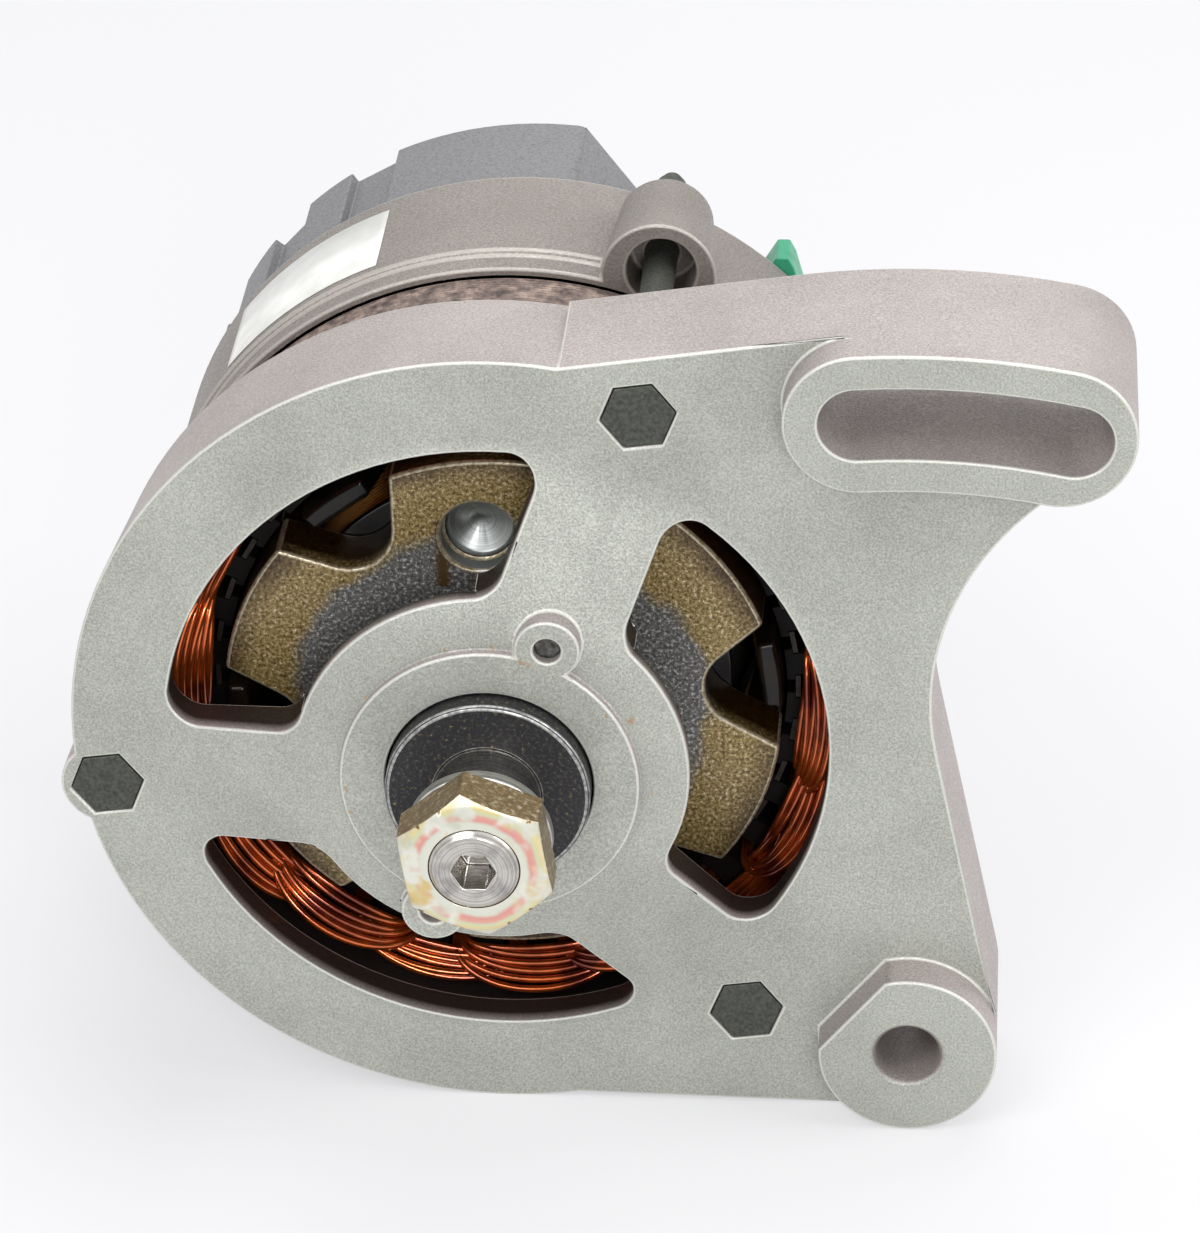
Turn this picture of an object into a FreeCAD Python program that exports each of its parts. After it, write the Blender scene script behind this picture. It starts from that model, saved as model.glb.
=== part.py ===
import FreeCAD, Part
import math
import os
import re
import Sketcher

# Alternator with a pivot lug and a slotted ear, in millimetres.
# The shaft runs along Y. The origin is the pulley seat, the front face of the spacer in front of the
# hub. The shaft nose points to -Y, +Z is up as the machine lies on its rim and lug, and +X is the side
# of the lug and the ear.

DIMENSIONS = {
    # drive end bracket
    "seat_stand": 15.4,          # pulley seat in front of the rim face
    "rim_margin": 4.38,          # rim outside the circle of the through bolts
    "rim_depth": 25.3,
    "rim_draft": 4.6,            # degrees of draft on the rim
    "web_thickness": 6.2,
    "shell_step": 1.7,           # ledge in front of the stator
    "cone_inset": 3.7,           # start of the arms' cone, inside the stator's radius
    "cone_rise": 10.4,
    "ring_radius": 23.4,         # machined ring round the spacer
    "ring_rise": 12.0,
    "hub_radius": 31.0,
    "hub_lip": 4.0,              # lip in front of the bearing
    "hub_edge": 6.1,             # from the hub's front to where its outside slopes in behind a window
    "hub_foot_radius": 24.5,
    "hub_slope_sweep": 80.0,     # degrees
    "screw_post_radius": 4.5,    # round a retainer screw where the hub slopes in
    "lobe_radius": 5.1,
    "lobe_depth": 5.0,
    "window_inset": 5.8,         # windows' outer edge, inside the stator's radius
    "arm_half_width": 10.35,
    "window_corner": 4.6,
    "window_hub_corner": 5.5,
    "arm_angle": 68.26,          # degrees, direction of the first arm and of its through bolt
    # pivot lug and slotted ear
    "pivot_stand": 16.58,        # pivot outside the rim
    "pivot_angle": -39.11,
    "pivot_bore_radius": 5.2,
    "pivot_chamfer": 1.0,
    "lug_radius": 14.3,
    "lug_flat": 11.6,            # flat of the boss that faces the shaft, from the bore
    "boss_rise": 6.8,            # lug and ear stand this far in front of the rim face
    "ear_depth": 23.0,           # behind the rim face
    "ear_top_lean": 16.05,       # degrees at the pivot between both ends of the ear's top edge
    "ear_half_width": 11.5,
    "ear_start": 78.9,           # degrees about the pivot
    "ear_end": 94.2,
    "slot_half_width": 5.9,
    "slot_start": 77.9,
    "slot_end": 94.3,
    "waist_radius": 47.0,
    "waist_side": 28.0,          # waist's centre beside the centre of the ear's round end
    "waist_drop": 50.42,
    "edge_top_angle": 80.4,      # where the ear's top edge meets the rim
    "edge_bottom_angle": -80.0,  # where the lug's bottom edge meets the rim
    "casting_wall": 5.5,
    # through bolts
    "bolt_clearance": 2.27,      # from a through bolt to the stator
    "bolt_radius": 2.65,
    "bolt_head_flats": 10.0,
    "bolt_head_height": 4.0,
    "bolt_turn": 8.0,            # degrees that a corner of the head is turned from +X
    "bolt_reach": 80.4,          # end of the thread behind the rim face
    "bolt_pilot_radius": 1.8,
    "bolt_pilot_length": 2.4,
    "bolt_boss_radius": 7.4,
    "socket_play": 0.15,
    "bolt_play": 0.3,
    # stator
    "slot_depth": 9.6,
    "stator_yoke": 3.6,          # metal behind the slots
    "air_gap": 0.4,
    "stator_setback": 19.5,      # front of the stack behind the rim face
    "stack_length": 32.0,
    "slot_count": 36,
    "tooth_tip": 1.2,
    "slot_mouth": 2.4,
    "slot_width": 4.4,
    "slot_liner": 0.25,
    "wedge_thickness": 0.8,
    "coil_first_share": 0.175,   # middle of the inner layer's legs in the room of a slot
    "coil_step_share": 0.3,      # from layer to layer
    "coil_layer_gap": 0.05,
    "coil_width": 3.2,
    "coil_bar": 2.1,             # end loops, along the shaft
    "coil_height": 5.6,          # inner layer's end loops above the stack
    "coil_height_step": 2.4,
    "coil_corner": 4.2,
    # rear bracket
    "rear_skin": 2.6,            # wall round the stator
    "rear_overlap": 4.3,         # stack held inside the rear bracket
    "rear_length": 33.3,
    "rear_wall": 4.2,
    "rear_step": 2.6,            # ledge behind the stator
    "rear_lip_length": 5.4,
    "rear_lip_step": 0.9,
    "rear_boss_radius": 9.3,
    "rear_boss_draft": 4.5,
    "rear_boss_length": 20.8,
    "rear_pocket_radius": 5.6,
    "rear_pocket_depth": 9.0,
    "rear_hub_radius": 22.0,
    "rear_hub_length": 15.5,
    "rear_neck_bore": 13.4,
    "vent_inner": 24.5,
    "vent_outer": 41.0,
    "vent_half_angle": 8.5,
    "vent_start": 8.0,
    "vent_count": 10,
    # shaft line
    "shaft_radius": 8.5,
    "thread_radius": 7.0,
    "nose_length": 21.9,         # end of the shaft in front of the pulley seat
    "nose_chamfer": 1.0,
    "socket_flats": 6.0,
    "socket_depth": 7.0,
    "collar_radius": 11.6,
    "rear_journal_radius": 6.0,
    "spacer_radius": 16.0,
    "spacer_thickness": 6.6,
    "spacer_play": 0.3,
    "fit_play": 0.03,            # radial play of parts pushed on or in
    "washer_radius": 11.3,
    "washer_thickness": 2.4,
    "nut_flats": 22.0,
    "nut_height": 8.0,
    "nut_setback": 0.9,          # nut face behind the shaft's end
    # rotor
    "rotor_setback": 11.0,       # front pole face behind the rim face
    "rotor_radius": 44.6,
    "pole_thickness": 11.0,
    "pole_count": 6,
    "notch_angle": 6.5,          # degrees, one of the front pole's notches
    "notch_depth": 12.0,
    "notch_radius": 7.0,
    "notch_flare": 36.0,         # degrees, each side of a notch to its middle line
    "claw_setback": 3.0,         # claw's tip in the other pole's notch, behind that pole's outer face
    "claw_tip_thickness": 3.4,
    "claw_root_half_width": 11.0,
    "claw_tip_half_width": 6.2,
    "claw_root_thickness": 8.3,
    "claw_side_slope": 2.6,      # narrowing of a claw towards its inner side
    "balance_angle": 95.3,
    "balance_distance": 31.2,
    "balance_radius": 6.0,
    "balance_depth": 3.6,
    "core_radius": 24.0,
    "pole_seat_radius": 9.0,
    "bobbin_wall": 1.4,
    "bobbin_gap": 0.3,           # under the roots of the claws
    "coil_inset": 0.8,           # wire below the rim of the bobbin
    # slip rings
    "slip_ring_radius": 12.4,
    "slip_ring_wall": 1.9,
    "slip_ring_width": 5.6,
    "slip_ring_gap": 3.0,
    "slip_ring_start": 83.0,     # front edge of the front slip ring behind the rim face
    "carrier_flange": 1.5,
    "carrier_rise": 0.4,         # rings stand this far out of the carrier
    "shaft_tail": 99.5,          # end of the shaft behind the rim face
    # front bearing
    "front_bearing_outer": 20.0,
    "front_bearing_width": 12.0,
    "front_ball_radius": 3.37,
    "front_ball_count": 8,
    # rear bearing
    "rear_bearing_outer": 16.0,
    "rear_bearing_width": 10.0,
    "rear_ball_radius": 2.98,
    "rear_ball_count": 7,
    "rear_bearing_setback": 66.4,
    "sleeve_wall": 1.2,
    "ball_play": 0.08,
    "race_gap": 2.1,             # half the gap between the shoulders of the rings
    "cage_wall": 1.1,
    # bearing retainer
    "retainer_thickness": 1.6,
    "retainer_bore": 15.2,
    "retainer_radius": 22.5,
    "retainer_screw_distance": 25.9,
    "retainer_screw_radius": 2.1,
    "retainer_head_radius": 4.2,
    "retainer_head_height": 2.6,
    "retainer_screw_recess": 1.6,
    # brush gear
    "brush_width": 6.0,
    "brush_thickness": 4.6,
    "brush_share": 0.598,        # of the room between ring and well bottom, the rest is the spring's
    "brush_play": 0.12,
    "brush_face_play": 0.06,
    "brush_travel": 5.0,
    "holder_wall": 1.8,
    "holder_gap": 1.6,           # holder above the slip rings
    "spring_wire": 0.45,
    "spring_radius": 1.7,
    "spring_turns": 3.5,
    "holder_foot": 3.0,
    "regulator_width": 34.0,
    "regulator_height": 15.0,
    "regulator_clearance": 1.44, # corners to the cover's wall
    "regulator_thickness": 11.0,
    "regulator_screw_x": 13.0,
    "regulator_screw_drop": 8.0,
    # rectifier and terminals
    "sink_edge_gap": 2.2,        # to the cover's wall
    "sink_out_band": 15.0,
    "sink_in_band": 14.0,
    "sink_thickness": 2.5,
    "sink_from": 62.0,           # degrees, start of the positive heat sink
    "sink_shift": 22.0,          # the negative one starts this much later
    "sink_to": 206.0,
    "sink_gap": 4.2,
    "sink_clearance": 1.5,
    "diode_radius": 6.35,
    "diode_height": 3.6,
    "diode_lead_radius": 0.7,
    "diode_in_inset": 8.0,       # diodes of the positive heat sink from its outer edge
    "diode_out_inset": 6.5,
    "screw_radius": 2.0,
    "screw_head_radius": 3.6,
    "screw_head_height": 2.4,
    "bush_radius": 4.5,
    "stud_radius": 3.0,
    "stud_shank_radius": 3.4,    # behind the free end
    "stud_x": 43.5,
    "stud_z": 26.0,
    "stud_length": 19.0,
    "stud_setback": 1.0,         # insulator left in front of the stud
    "stud_nut_flats": 10.0,
    "stud_nut_height": 5.0,
    "tab_width": 9.0,
    "cap_x": 42.6,               # outer corner of the insulator
    "cap_z": 46.0,
    "cap_depth": 7.4,
    "blade_width": 6.3,
    "blade_thickness": 0.8,
    "blade_length": 12.0,
    "blade_x": 51.2,
    "blade_z": 14.0,
    "terminal_width": 10.0,
    "terminal_height": 9.5,
    "terminal_depth": 7.0,
    # rear cover
    "cover_inset": 1.6,          # from the rear bracket's edge
    "cover_height": 23.5,
    "cover_wall": 2.2,
    "cover_chord": 41.2,         # straight side, from the shaft
    "cover_chord_angle": 36.6,   # degrees, direction of that side
    "cover_step": 1.8,           # depth of the flutes
    "cover_flute_half_angle": 4.4,
    "cover_flute_start": 119.0,
    "cover_flute_pitch": 18.2,
    "cover_vent_width": 3.4,
    "cover_stud_inset": 6.0,     # from the edge of the heat sinks
    "cover_spacer_radius": 3.2,
    "cover_stud_reach": 6.0,
    "cover_stud_radius": 2.0,
    "cover_nut_flats": 8.0,
    "cover_nut_height": 4.0,
}

# Sizes that follow from the rotor's radius outwards.
LINKED = {
    "stator_radius": "=rotor_radius + air_gap + slot_depth + stator_yoke",
    "bolt_circle": "=stator_radius + bolt_radius + bolt_clearance",
    "rim_radius": "=bolt_circle + rim_margin",
    "shell_bore": "=stator_radius - shell_step",
    "cone_radius": "=stator_radius - cone_inset",
    "window_radius": "=stator_radius - window_inset",
    "pivot_distance": "=rim_radius + pivot_stand",
    "rear_radius": "=stator_radius + rear_skin",
    "rear_bore": "=stator_radius - rear_step",
    "cover_radius": "=rear_radius - cover_inset",
}

doc = FreeCAD.newDocument("alternator")
dims = doc.addObject("Spreadsheet::Sheet", "dims")
for row, (alias, size) in enumerate({**DIMENSIONS, **LINKED}.items(), start=1):
    dims.set(f"A{row}", alias.replace("_", " "))
    dims.set(f"B{row}", str(size))
    dims.setAlias(f"B{row}", alias)
doc.recompute()

# Stations along the shaft, as expressions over the sheet's names.
FACE = "seat_stand"
HUB_FRONT = "(seat_stand - ring_rise)"
BOSS_FRONT = "(seat_stand - boss_rise)"
STACK_FRONT = "(seat_stand + stator_setback)"
STACK_BACK = "(seat_stand + stator_setback + stack_length)"
REAR_FRONT = f"({STACK_BACK} - rear_overlap)"
REAR_BACK = f"({REAR_FRONT} + rear_length)"
COVER_BACK = f"({REAR_BACK} + cover_height)"
ROTOR_FRONT = "(seat_stand + rotor_setback)"
ROTOR_BACK = f"({STACK_FRONT} + {STACK_BACK} - {ROTOR_FRONT})"
FRONT_BEARING = "(seat_stand - ring_rise + hub_lip)"
HUB_BACK = f"({FRONT_BEARING} + front_bearing_width)"
REAR_BEARING = "(seat_stand + rear_bearing_setback)"
REAR_SEAT = f"({REAR_BEARING} + rear_bearing_width)"
SHAFT_END = "(seat_stand + shaft_tail)"
NECK_END = "-(nose_length - nut_setback - nut_height - washer_thickness)"
NUT_FACE = "-(nose_length - nut_setback)"
FRONT_RING = "(seat_stand + slip_ring_start)"
REAR_RING = f"({FRONT_RING} + slip_ring_width + slip_ring_gap)"
FRONT_RING_MIDDLE = f"({FRONT_RING} + slip_ring_width / 2)"
REAR_RING_MIDDLE = f"({REAR_RING} + slip_ring_width / 2)"
POSITIVE_SINK = f"({REAR_BACK} + sink_gap)"
COVER_END = f"({COVER_BACK} - cover_wall)"
BRUSH_TOP = "(slip_ring_radius + brush_face_play)"
STUD_SHANK_END = f"({POSITIVE_SINK} + sink_thickness + stud_nut_height)"

# Sizes across the shaft that follow from others.
EDGE_RUN = "(rim_radius * cos(edge_top_angle) - pivot_distance * cos(pivot_angle))"
EDGE_RISE = "(rim_radius * sin(edge_top_angle) - pivot_distance * sin(pivot_angle))"
EAR_REACH = f"(sqrt({EDGE_RUN}^2 + {EDGE_RISE}^2) * cos(ear_top_lean) - ear_half_width)"
WAIST_X = f"(pivot_distance * cos(pivot_angle) + {EAR_REACH} * cos(ear_start) + waist_side)"
WAIST_Z = f"(pivot_distance * sin(pivot_angle) + {EAR_REACH} * sin(ear_start) - waist_drop)"
STATOR_BORE = "(rotor_radius + air_gap)"
SLOT_BOTTOM = "(stator_radius - stator_yoke)"
SLOT_FLOOR = f"({STATOR_BORE} + tooth_tip + wedge_thickness + 2 * slot_liner)"
SLOT_ROOM = f"({SLOT_BOTTOM} - slot_liner - {SLOT_FLOOR})"
COIL_STEP = f"(coil_step_share * {SLOT_ROOM})"
COIL_THICKNESS = f"({COIL_STEP} - coil_layer_gap)"
NOTCH_REACH = "(rotor_radius - notch_depth)"
CLAW_ROOT_INNER = "(rotor_radius - claw_root_thickness)"
BOBBIN_RADIUS = f"({CLAW_ROOT_INNER} - bobbin_gap)"
COVER_INNER = "(cover_radius - cover_step - cover_wall)"
SINK_OUTER = f"({COVER_INNER} - sink_edge_gap)"
SINK_MIDDLE = f"({SINK_OUTER} - sink_out_band)"
SINK_INNER = f"({SINK_MIDDLE} - sink_in_band)"
DIODE_REACH = f"({SINK_MIDDLE} - diode_in_inset)"
DIODE_REACH_OUT = f"({SINK_OUTER} - diode_out_inset)"
COVER_STUD_REACH = f"({SINK_OUTER} - cover_stud_inset)"
HOLDER_CORNER = f"({COVER_INNER} - regulator_clearance)"
HOLDER_REACH = f"(sqrt({HOLDER_CORNER}^2 - (regulator_width / 2)^2) - regulator_height)"
WELL_BOTTOM = f"({HOLDER_REACH} - holder_wall)"
BRUSH_LENGTH = f"(brush_share * ({WELL_BOTTOM} - {BRUSH_TOP}))"
REGULATOR_SCREW_Z = f"({HOLDER_REACH} + regulator_screw_drop)"
POSITIVE_DIODES = ("78", "134", "190")
NEGATIVE_DIODES = ("94", "142", "190")
POSITIVE_SCREWS = ("98", "170")
NEGATIVE_SCREW = "166"
COVER_STUDS = ("118", "216", "328")
# Corners, X and Z, of the three hollows in the back of the plate: below the ear, left of it, beside the lug.
WEB_HOLLOWS = (
    ((50, 48.5), (66.5, 46.5), (70.5, 38.5), (65.3, 27.5), (60.5, 31)),
    ((33, 61), (44.5, 54.5), (46, 57), (44.5, 66), (31, 64.5)),
    ((61.5, -33), (64.5, -23), (68, -23), (70.2, -35.5), (62.5, -36.5)),
)


def link(expression):
    """The expression with each of the sheet's names written as the document needs it."""
    return re.sub(r"[a-z]+(?:_[a-z]+)+", lambda found: "dims." + found.group(0), str(expression))


def size_of(expression):
    """The number that an expression gives with the sheet's present sizes."""
    return float(dims.evalExpression(link(expression)))


def bind(item, name, expression):
    item.setExpression(name, link(expression))


def new_body(label):
    body = doc.addObject("PartDesign::Body", label)
    body.Label = label
    body.AllowCompound = True
    return body


def origin_item(body, role):
    return next(item for item in body.Origin.OriginFeatures if item.Role == role)


def plane_sketch(body, role, offset="0"):
    sketch = body.newObject("Sketcher::SketchObject", "sketch")
    sketch.AttachmentSupport = [(origin_item(body, role), "")]
    sketch.MapMode = "FlatFace"
    bind(sketch, ".AttachmentOffset.Base.z", offset)
    return sketch


def cross_sketch(body, station):
    """A sketch square to the shaft at the given Y, with X to the right and Z up."""
    return plane_sketch(body, "XZ_Plane", f"-({station})")


def datum(sketch, kind, places, expression):
    number = sketch.addConstraint(Sketcher.Constraint(kind, *places, size_of(expression)))
    bind(sketch, f"Constraints[{number}]", expression)


def pin_point(sketch, item, point, x, y):
    datum(sketch, "DistanceX", (-1, 1, item, point), x)
    datum(sketch, "DistanceY", (-1, 1, item, point), y)


def circle(sketch, x, y, radius):
    centre = FreeCAD.Vector(size_of(x), size_of(y), 0)
    item = sketch.addGeometry(Part.Circle(centre, FreeCAD.Vector(0, 0, 1), size_of(radius)))
    pin_point(sketch, item, 3, x, y)
    datum(sketch, "Radius", (item,), radius)


def polygon(sketch, corners):
    """A closed polygon whose corners are pairs of expressions."""
    places = [FreeCAD.Vector(size_of(x), size_of(y), 0) for x, y in corners]
    first = sketch.GeometryCount
    count = len(places)
    for number in range(count):
        sketch.addGeometry(Part.LineSegment(places[number], places[(number + 1) % count]))
    for number in range(count):
        following = first + (number + 1) % count
        sketch.addConstraint(Sketcher.Constraint("Coincident", first + number, 2, following, 1))
    for number, (x, y) in enumerate(corners):
        pin_point(sketch, first + number, 1, x, y)


def hexagon(sketch, x, y, flats, turn="0"):
    """A regular hexagon by its width across flats."""
    reach = f"({flats}) / 2 / cos(30)"
    polygon(sketch, [(f"{x} + {reach} * cos({turn} + {60 * n})", f"{y} + {reach} * sin({turn} + {60 * n})")
                     for n in range(6)])


def arc(sketch, centre, radius, start, end):
    """An arc from angle start to angle end, counter-clockwise, in degrees."""
    middle = FreeCAD.Vector(centre[0], centre[1], 0)
    round_line = Part.Circle(middle, FreeCAD.Vector(0, 0, 1), radius)
    if end < start:
        end += 360
    return sketch.addGeometry(Part.ArcOfCircle(round_line, math.radians(start), math.radians(end)))


def line(sketch, start, end):
    return sketch.addGeometry(Part.LineSegment(FreeCAD.Vector(*start, 0), FreeCAD.Vector(*end, 0)))


def smooth(sketch, first, first_point, second, second_point):
    sketch.addConstraint(Sketcher.Constraint("Tangent", first, first_point, second, second_point))


def meet(sketch, first, first_point, second, second_point):
    sketch.addConstraint(Sketcher.Constraint("Coincident", first, first_point, second, second_point))


def place(distance, angle):
    """Expressions of a point by its distance from the shaft and its angle."""
    return f"({distance}) * cos({angle})", f"({distance}) * sin({angle})"


def pad(body, sketch, length, taper="0"):
    """Material from the sketch towards +Y."""
    feature = body.newObject("PartDesign::Pad", "pad")
    feature.Profile = sketch
    feature.Reversed = True
    bind(feature, "Length", length)
    bind(feature, "TaperAngle", taper)
    return feature


def pocket(body, sketch, length, taper="0"):
    """A cut from the sketch towards +Y."""
    feature = body.newObject("PartDesign::Pocket", "pocket")
    feature.Profile = sketch
    bind(feature, "Length", length)
    bind(feature, "TaperAngle", taper)
    return feature


def turned(body, corners, cut=False):
    """A revolved profile, or a revolved cut, with corners as (radius, Y) expressions."""
    sketch = plane_sketch(body, "XY_Plane")
    polygon(sketch, corners)
    kind = "Groove" if cut else "Revolution"
    feature = body.newObject(f"PartDesign::{kind}", kind.lower())
    feature.Profile = sketch
    feature.ReferenceAxis = (sketch, ["V_Axis"])
    feature.Angle = 360
    return feature


def turned_groove(body, radius, station, groove_radius):
    """A groove of round section, such as a ball race."""
    sketch = plane_sketch(body, "XY_Plane")
    circle(sketch, radius, station, groove_radius)
    feature = body.newObject("PartDesign::Groove", "race")
    feature.Profile = sketch
    feature.ReferenceAxis = (sketch, ["V_Axis"])
    feature.Angle = 360
    return feature


def ring(body, inner, outer, start, end, cut=False):
    return turned(body, [(inner, start), (outer, start), (outer, end), (inner, end)], cut)


def repeat(body, features, count):
    """Features repeated evenly round the shaft."""
    pattern = body.newObject("PartDesign::PolarPattern", "pattern")
    pattern.Originals = features
    pattern.Axis = (origin_item(body, "Y_Axis"), [""])
    pattern.Angle = 360
    bind(pattern, "Occurrences", count)
    body.Tip = pattern
    return pattern


def sphere(body, kind, radius, distance, station):
    feature = body.newObject(f"PartDesign::{kind}Sphere", "ball")
    bind(feature, "Radius", radius)
    bind(feature, ".Placement.Base.x", distance)
    bind(feature, ".Placement.Base.y", station)
    return feature


def block(body, low, high):
    """A box between two corners given as expressions."""
    sketch = cross_sketch(body, low[1])
    polygon(sketch, [(low[0], low[2]), (high[0], low[2]), (high[0], high[2]), (low[0], high[2])])
    return sketch, f"({high[1]}) - ({low[1]})"


def soften(body, radius, wanted):
    """Rounds the edges of the body's last feature that the test accepts."""
    doc.recompute()
    base = body.Tip
    names = [f"Edge{number}" for number, edge in enumerate(base.Shape.Edges, start=1) if wanted(edge)]
    feature = body.newObject("PartDesign::Fillet", "round")
    feature.Base = (base, names)
    bind(feature, "Radius", radius)
    return feature


# Outlines of the drive end bracket


def arc_slot(sketch, inner, outer, start, end):
    """A curved slot about the pivot, with round ends, from angle start to angle end."""
    pivot = place("pivot_distance", "pivot_angle")
    centre = (size_of(pivot[0]), size_of(pivot[1]))
    low, high = size_of(inner), size_of(outer)
    first, last = size_of(start), size_of(end)
    middle = (low + high) / 2

    def about(radius, angle):
        turn = math.radians(angle)
        return centre[0] + radius * math.cos(turn), centre[1] + radius * math.sin(turn)

    outer_arc = arc(sketch, centre, high, first, last)
    last_end = arc(sketch, about(middle, last), (high - low) / 2, last, last + 180)
    inner_arc = arc(sketch, centre, low, first, last)
    first_end = arc(sketch, about(middle, first), (high - low) / 2, first + 180, first + 360)
    smooth(sketch, outer_arc, 2, last_end, 1)
    smooth(sketch, last_end, 2, inner_arc, 2)
    smooth(sketch, inner_arc, 1, first_end, 1)
    smooth(sketch, first_end, 2, outer_arc, 1)
    meet(sketch, outer_arc, 3, inner_arc, 3)
    pin_point(sketch, outer_arc, 3, *pivot)
    datum(sketch, "Radius", (outer_arc,), outer)
    datum(sketch, "Radius", (inner_arc,), inner)
    reach = f"(({inner}) + ({outer})) / 2"
    datum(sketch, "DistanceX", (-1, 1, first_end, 3), f"{pivot[0]} + {reach} * cos({start})")
    datum(sketch, "DistanceX", (-1, 1, last_end, 3), f"{pivot[0]} + {reach} * cos({end})")


def plate_outline(sketch):
    """Ear, waist and lug as one outline that closes inside the rim."""
    pivot_x, pivot_z = place("pivot_distance", "pivot_angle")
    pivot = (size_of(pivot_x), size_of(pivot_z))
    reach, half = size_of(EAR_REACH), size_of("ear_half_width")
    lug, waist = size_of("lug_radius"), size_of("waist_radius")
    waist_centre = (size_of(WAIST_X), size_of(WAIST_Z))
    rim = size_of("rim_radius")

    def about(centre, radius, angle):
        turn = math.radians(angle)
        return centre[0] + radius * math.cos(turn), centre[1] + radius * math.sin(turn)

    def tangent_angle(point, centre, radius, side):
        """Angle on the circle where a line from the point touches it."""
        away = math.degrees(math.atan2(point[1] - centre[1], point[0] - centre[0]))
        distance = math.dist(point, centre)
        return away + side * math.degrees(math.acos(radius / distance))

    top_start = about((0, 0), rim, size_of("edge_top_angle"))
    bottom_start = about((0, 0), rim, size_of("edge_bottom_angle"))
    ear_outer = reach + half
    top_touch = tangent_angle(top_start, pivot, ear_outer, -1)
    ear_tip = about(pivot, reach, size_of("ear_start"))
    bottom_touch = tangent_angle(bottom_start, pivot, lug, 1)
    # The lug's side line touches the lug and the waist from opposite sides.
    span = math.dist(pivot, waist_centre)
    towards = math.degrees(math.atan2(waist_centre[1] - pivot[1], waist_centre[0] - pivot[0]))
    lug_exit = towards - math.degrees(math.acos((lug + waist) / span))
    waist_entry = lug_exit + 180
    # The waist and the round end of the ear cross; the lower crossing is the corner.
    gap = math.dist(ear_tip, waist_centre)
    lean = math.degrees(math.acos((waist ** 2 + gap ** 2 - half ** 2) / (2 * waist * gap)))
    to_tip = math.degrees(math.atan2(ear_tip[1] - waist_centre[1], ear_tip[0] - waist_centre[0]))
    waist_exit = to_tip + lean
    corner = about(waist_centre, waist, waist_exit)
    tip_entry = math.degrees(math.atan2(corner[1] - ear_tip[1], corner[0] - ear_tip[0]))

    lug_arc = arc(sketch, pivot, lug, bottom_touch, lug_exit)
    side = line(sketch, about(pivot, lug, lug_exit), about(waist_centre, waist, waist_entry))
    waist_arc = arc(sketch, waist_centre, waist, waist_exit, waist_entry)
    tip_arc = arc(sketch, ear_tip, half, tip_entry, size_of("ear_start") + 360)
    ear_arc = arc(sketch, pivot, ear_outer, size_of("ear_start"), top_touch)
    top = line(sketch, about(pivot, ear_outer, top_touch), top_start)
    inside = line(sketch, top_start, bottom_start)
    bottom = line(sketch, bottom_start, about(pivot, lug, bottom_touch))
    smooth(sketch, lug_arc, 2, side, 1)
    smooth(sketch, side, 2, waist_arc, 2)
    meet(sketch, waist_arc, 1, tip_arc, 1)
    smooth(sketch, tip_arc, 2, ear_arc, 1)
    smooth(sketch, ear_arc, 2, top, 1)
    meet(sketch, top, 2, inside, 1)
    meet(sketch, inside, 2, bottom, 1)
    smooth(sketch, bottom, 2, lug_arc, 1)
    pin_point(sketch, lug_arc, 3, pivot_x, pivot_z)
    datum(sketch, "Radius", (lug_arc,), "lug_radius")
    pin_point(sketch, waist_arc, 3, WAIST_X, WAIST_Z)
    datum(sketch, "Radius", (waist_arc,), "waist_radius")
    pin_point(sketch, ear_arc, 3, pivot_x, pivot_z)
    datum(sketch, "Radius", (ear_arc,), f"{EAR_REACH} + ear_half_width")
    datum(sketch, "Radius", (tip_arc,), "ear_half_width")
    datum(sketch, "DistanceX", (-1, 1, tip_arc, 3), f"{pivot_x} + {EAR_REACH} * cos(ear_start)")
    pin_point(sketch, top, 2, *place("rim_radius", "edge_top_angle"))
    pin_point(sketch, bottom, 1, *place("rim_radius", "edge_bottom_angle"))


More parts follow.
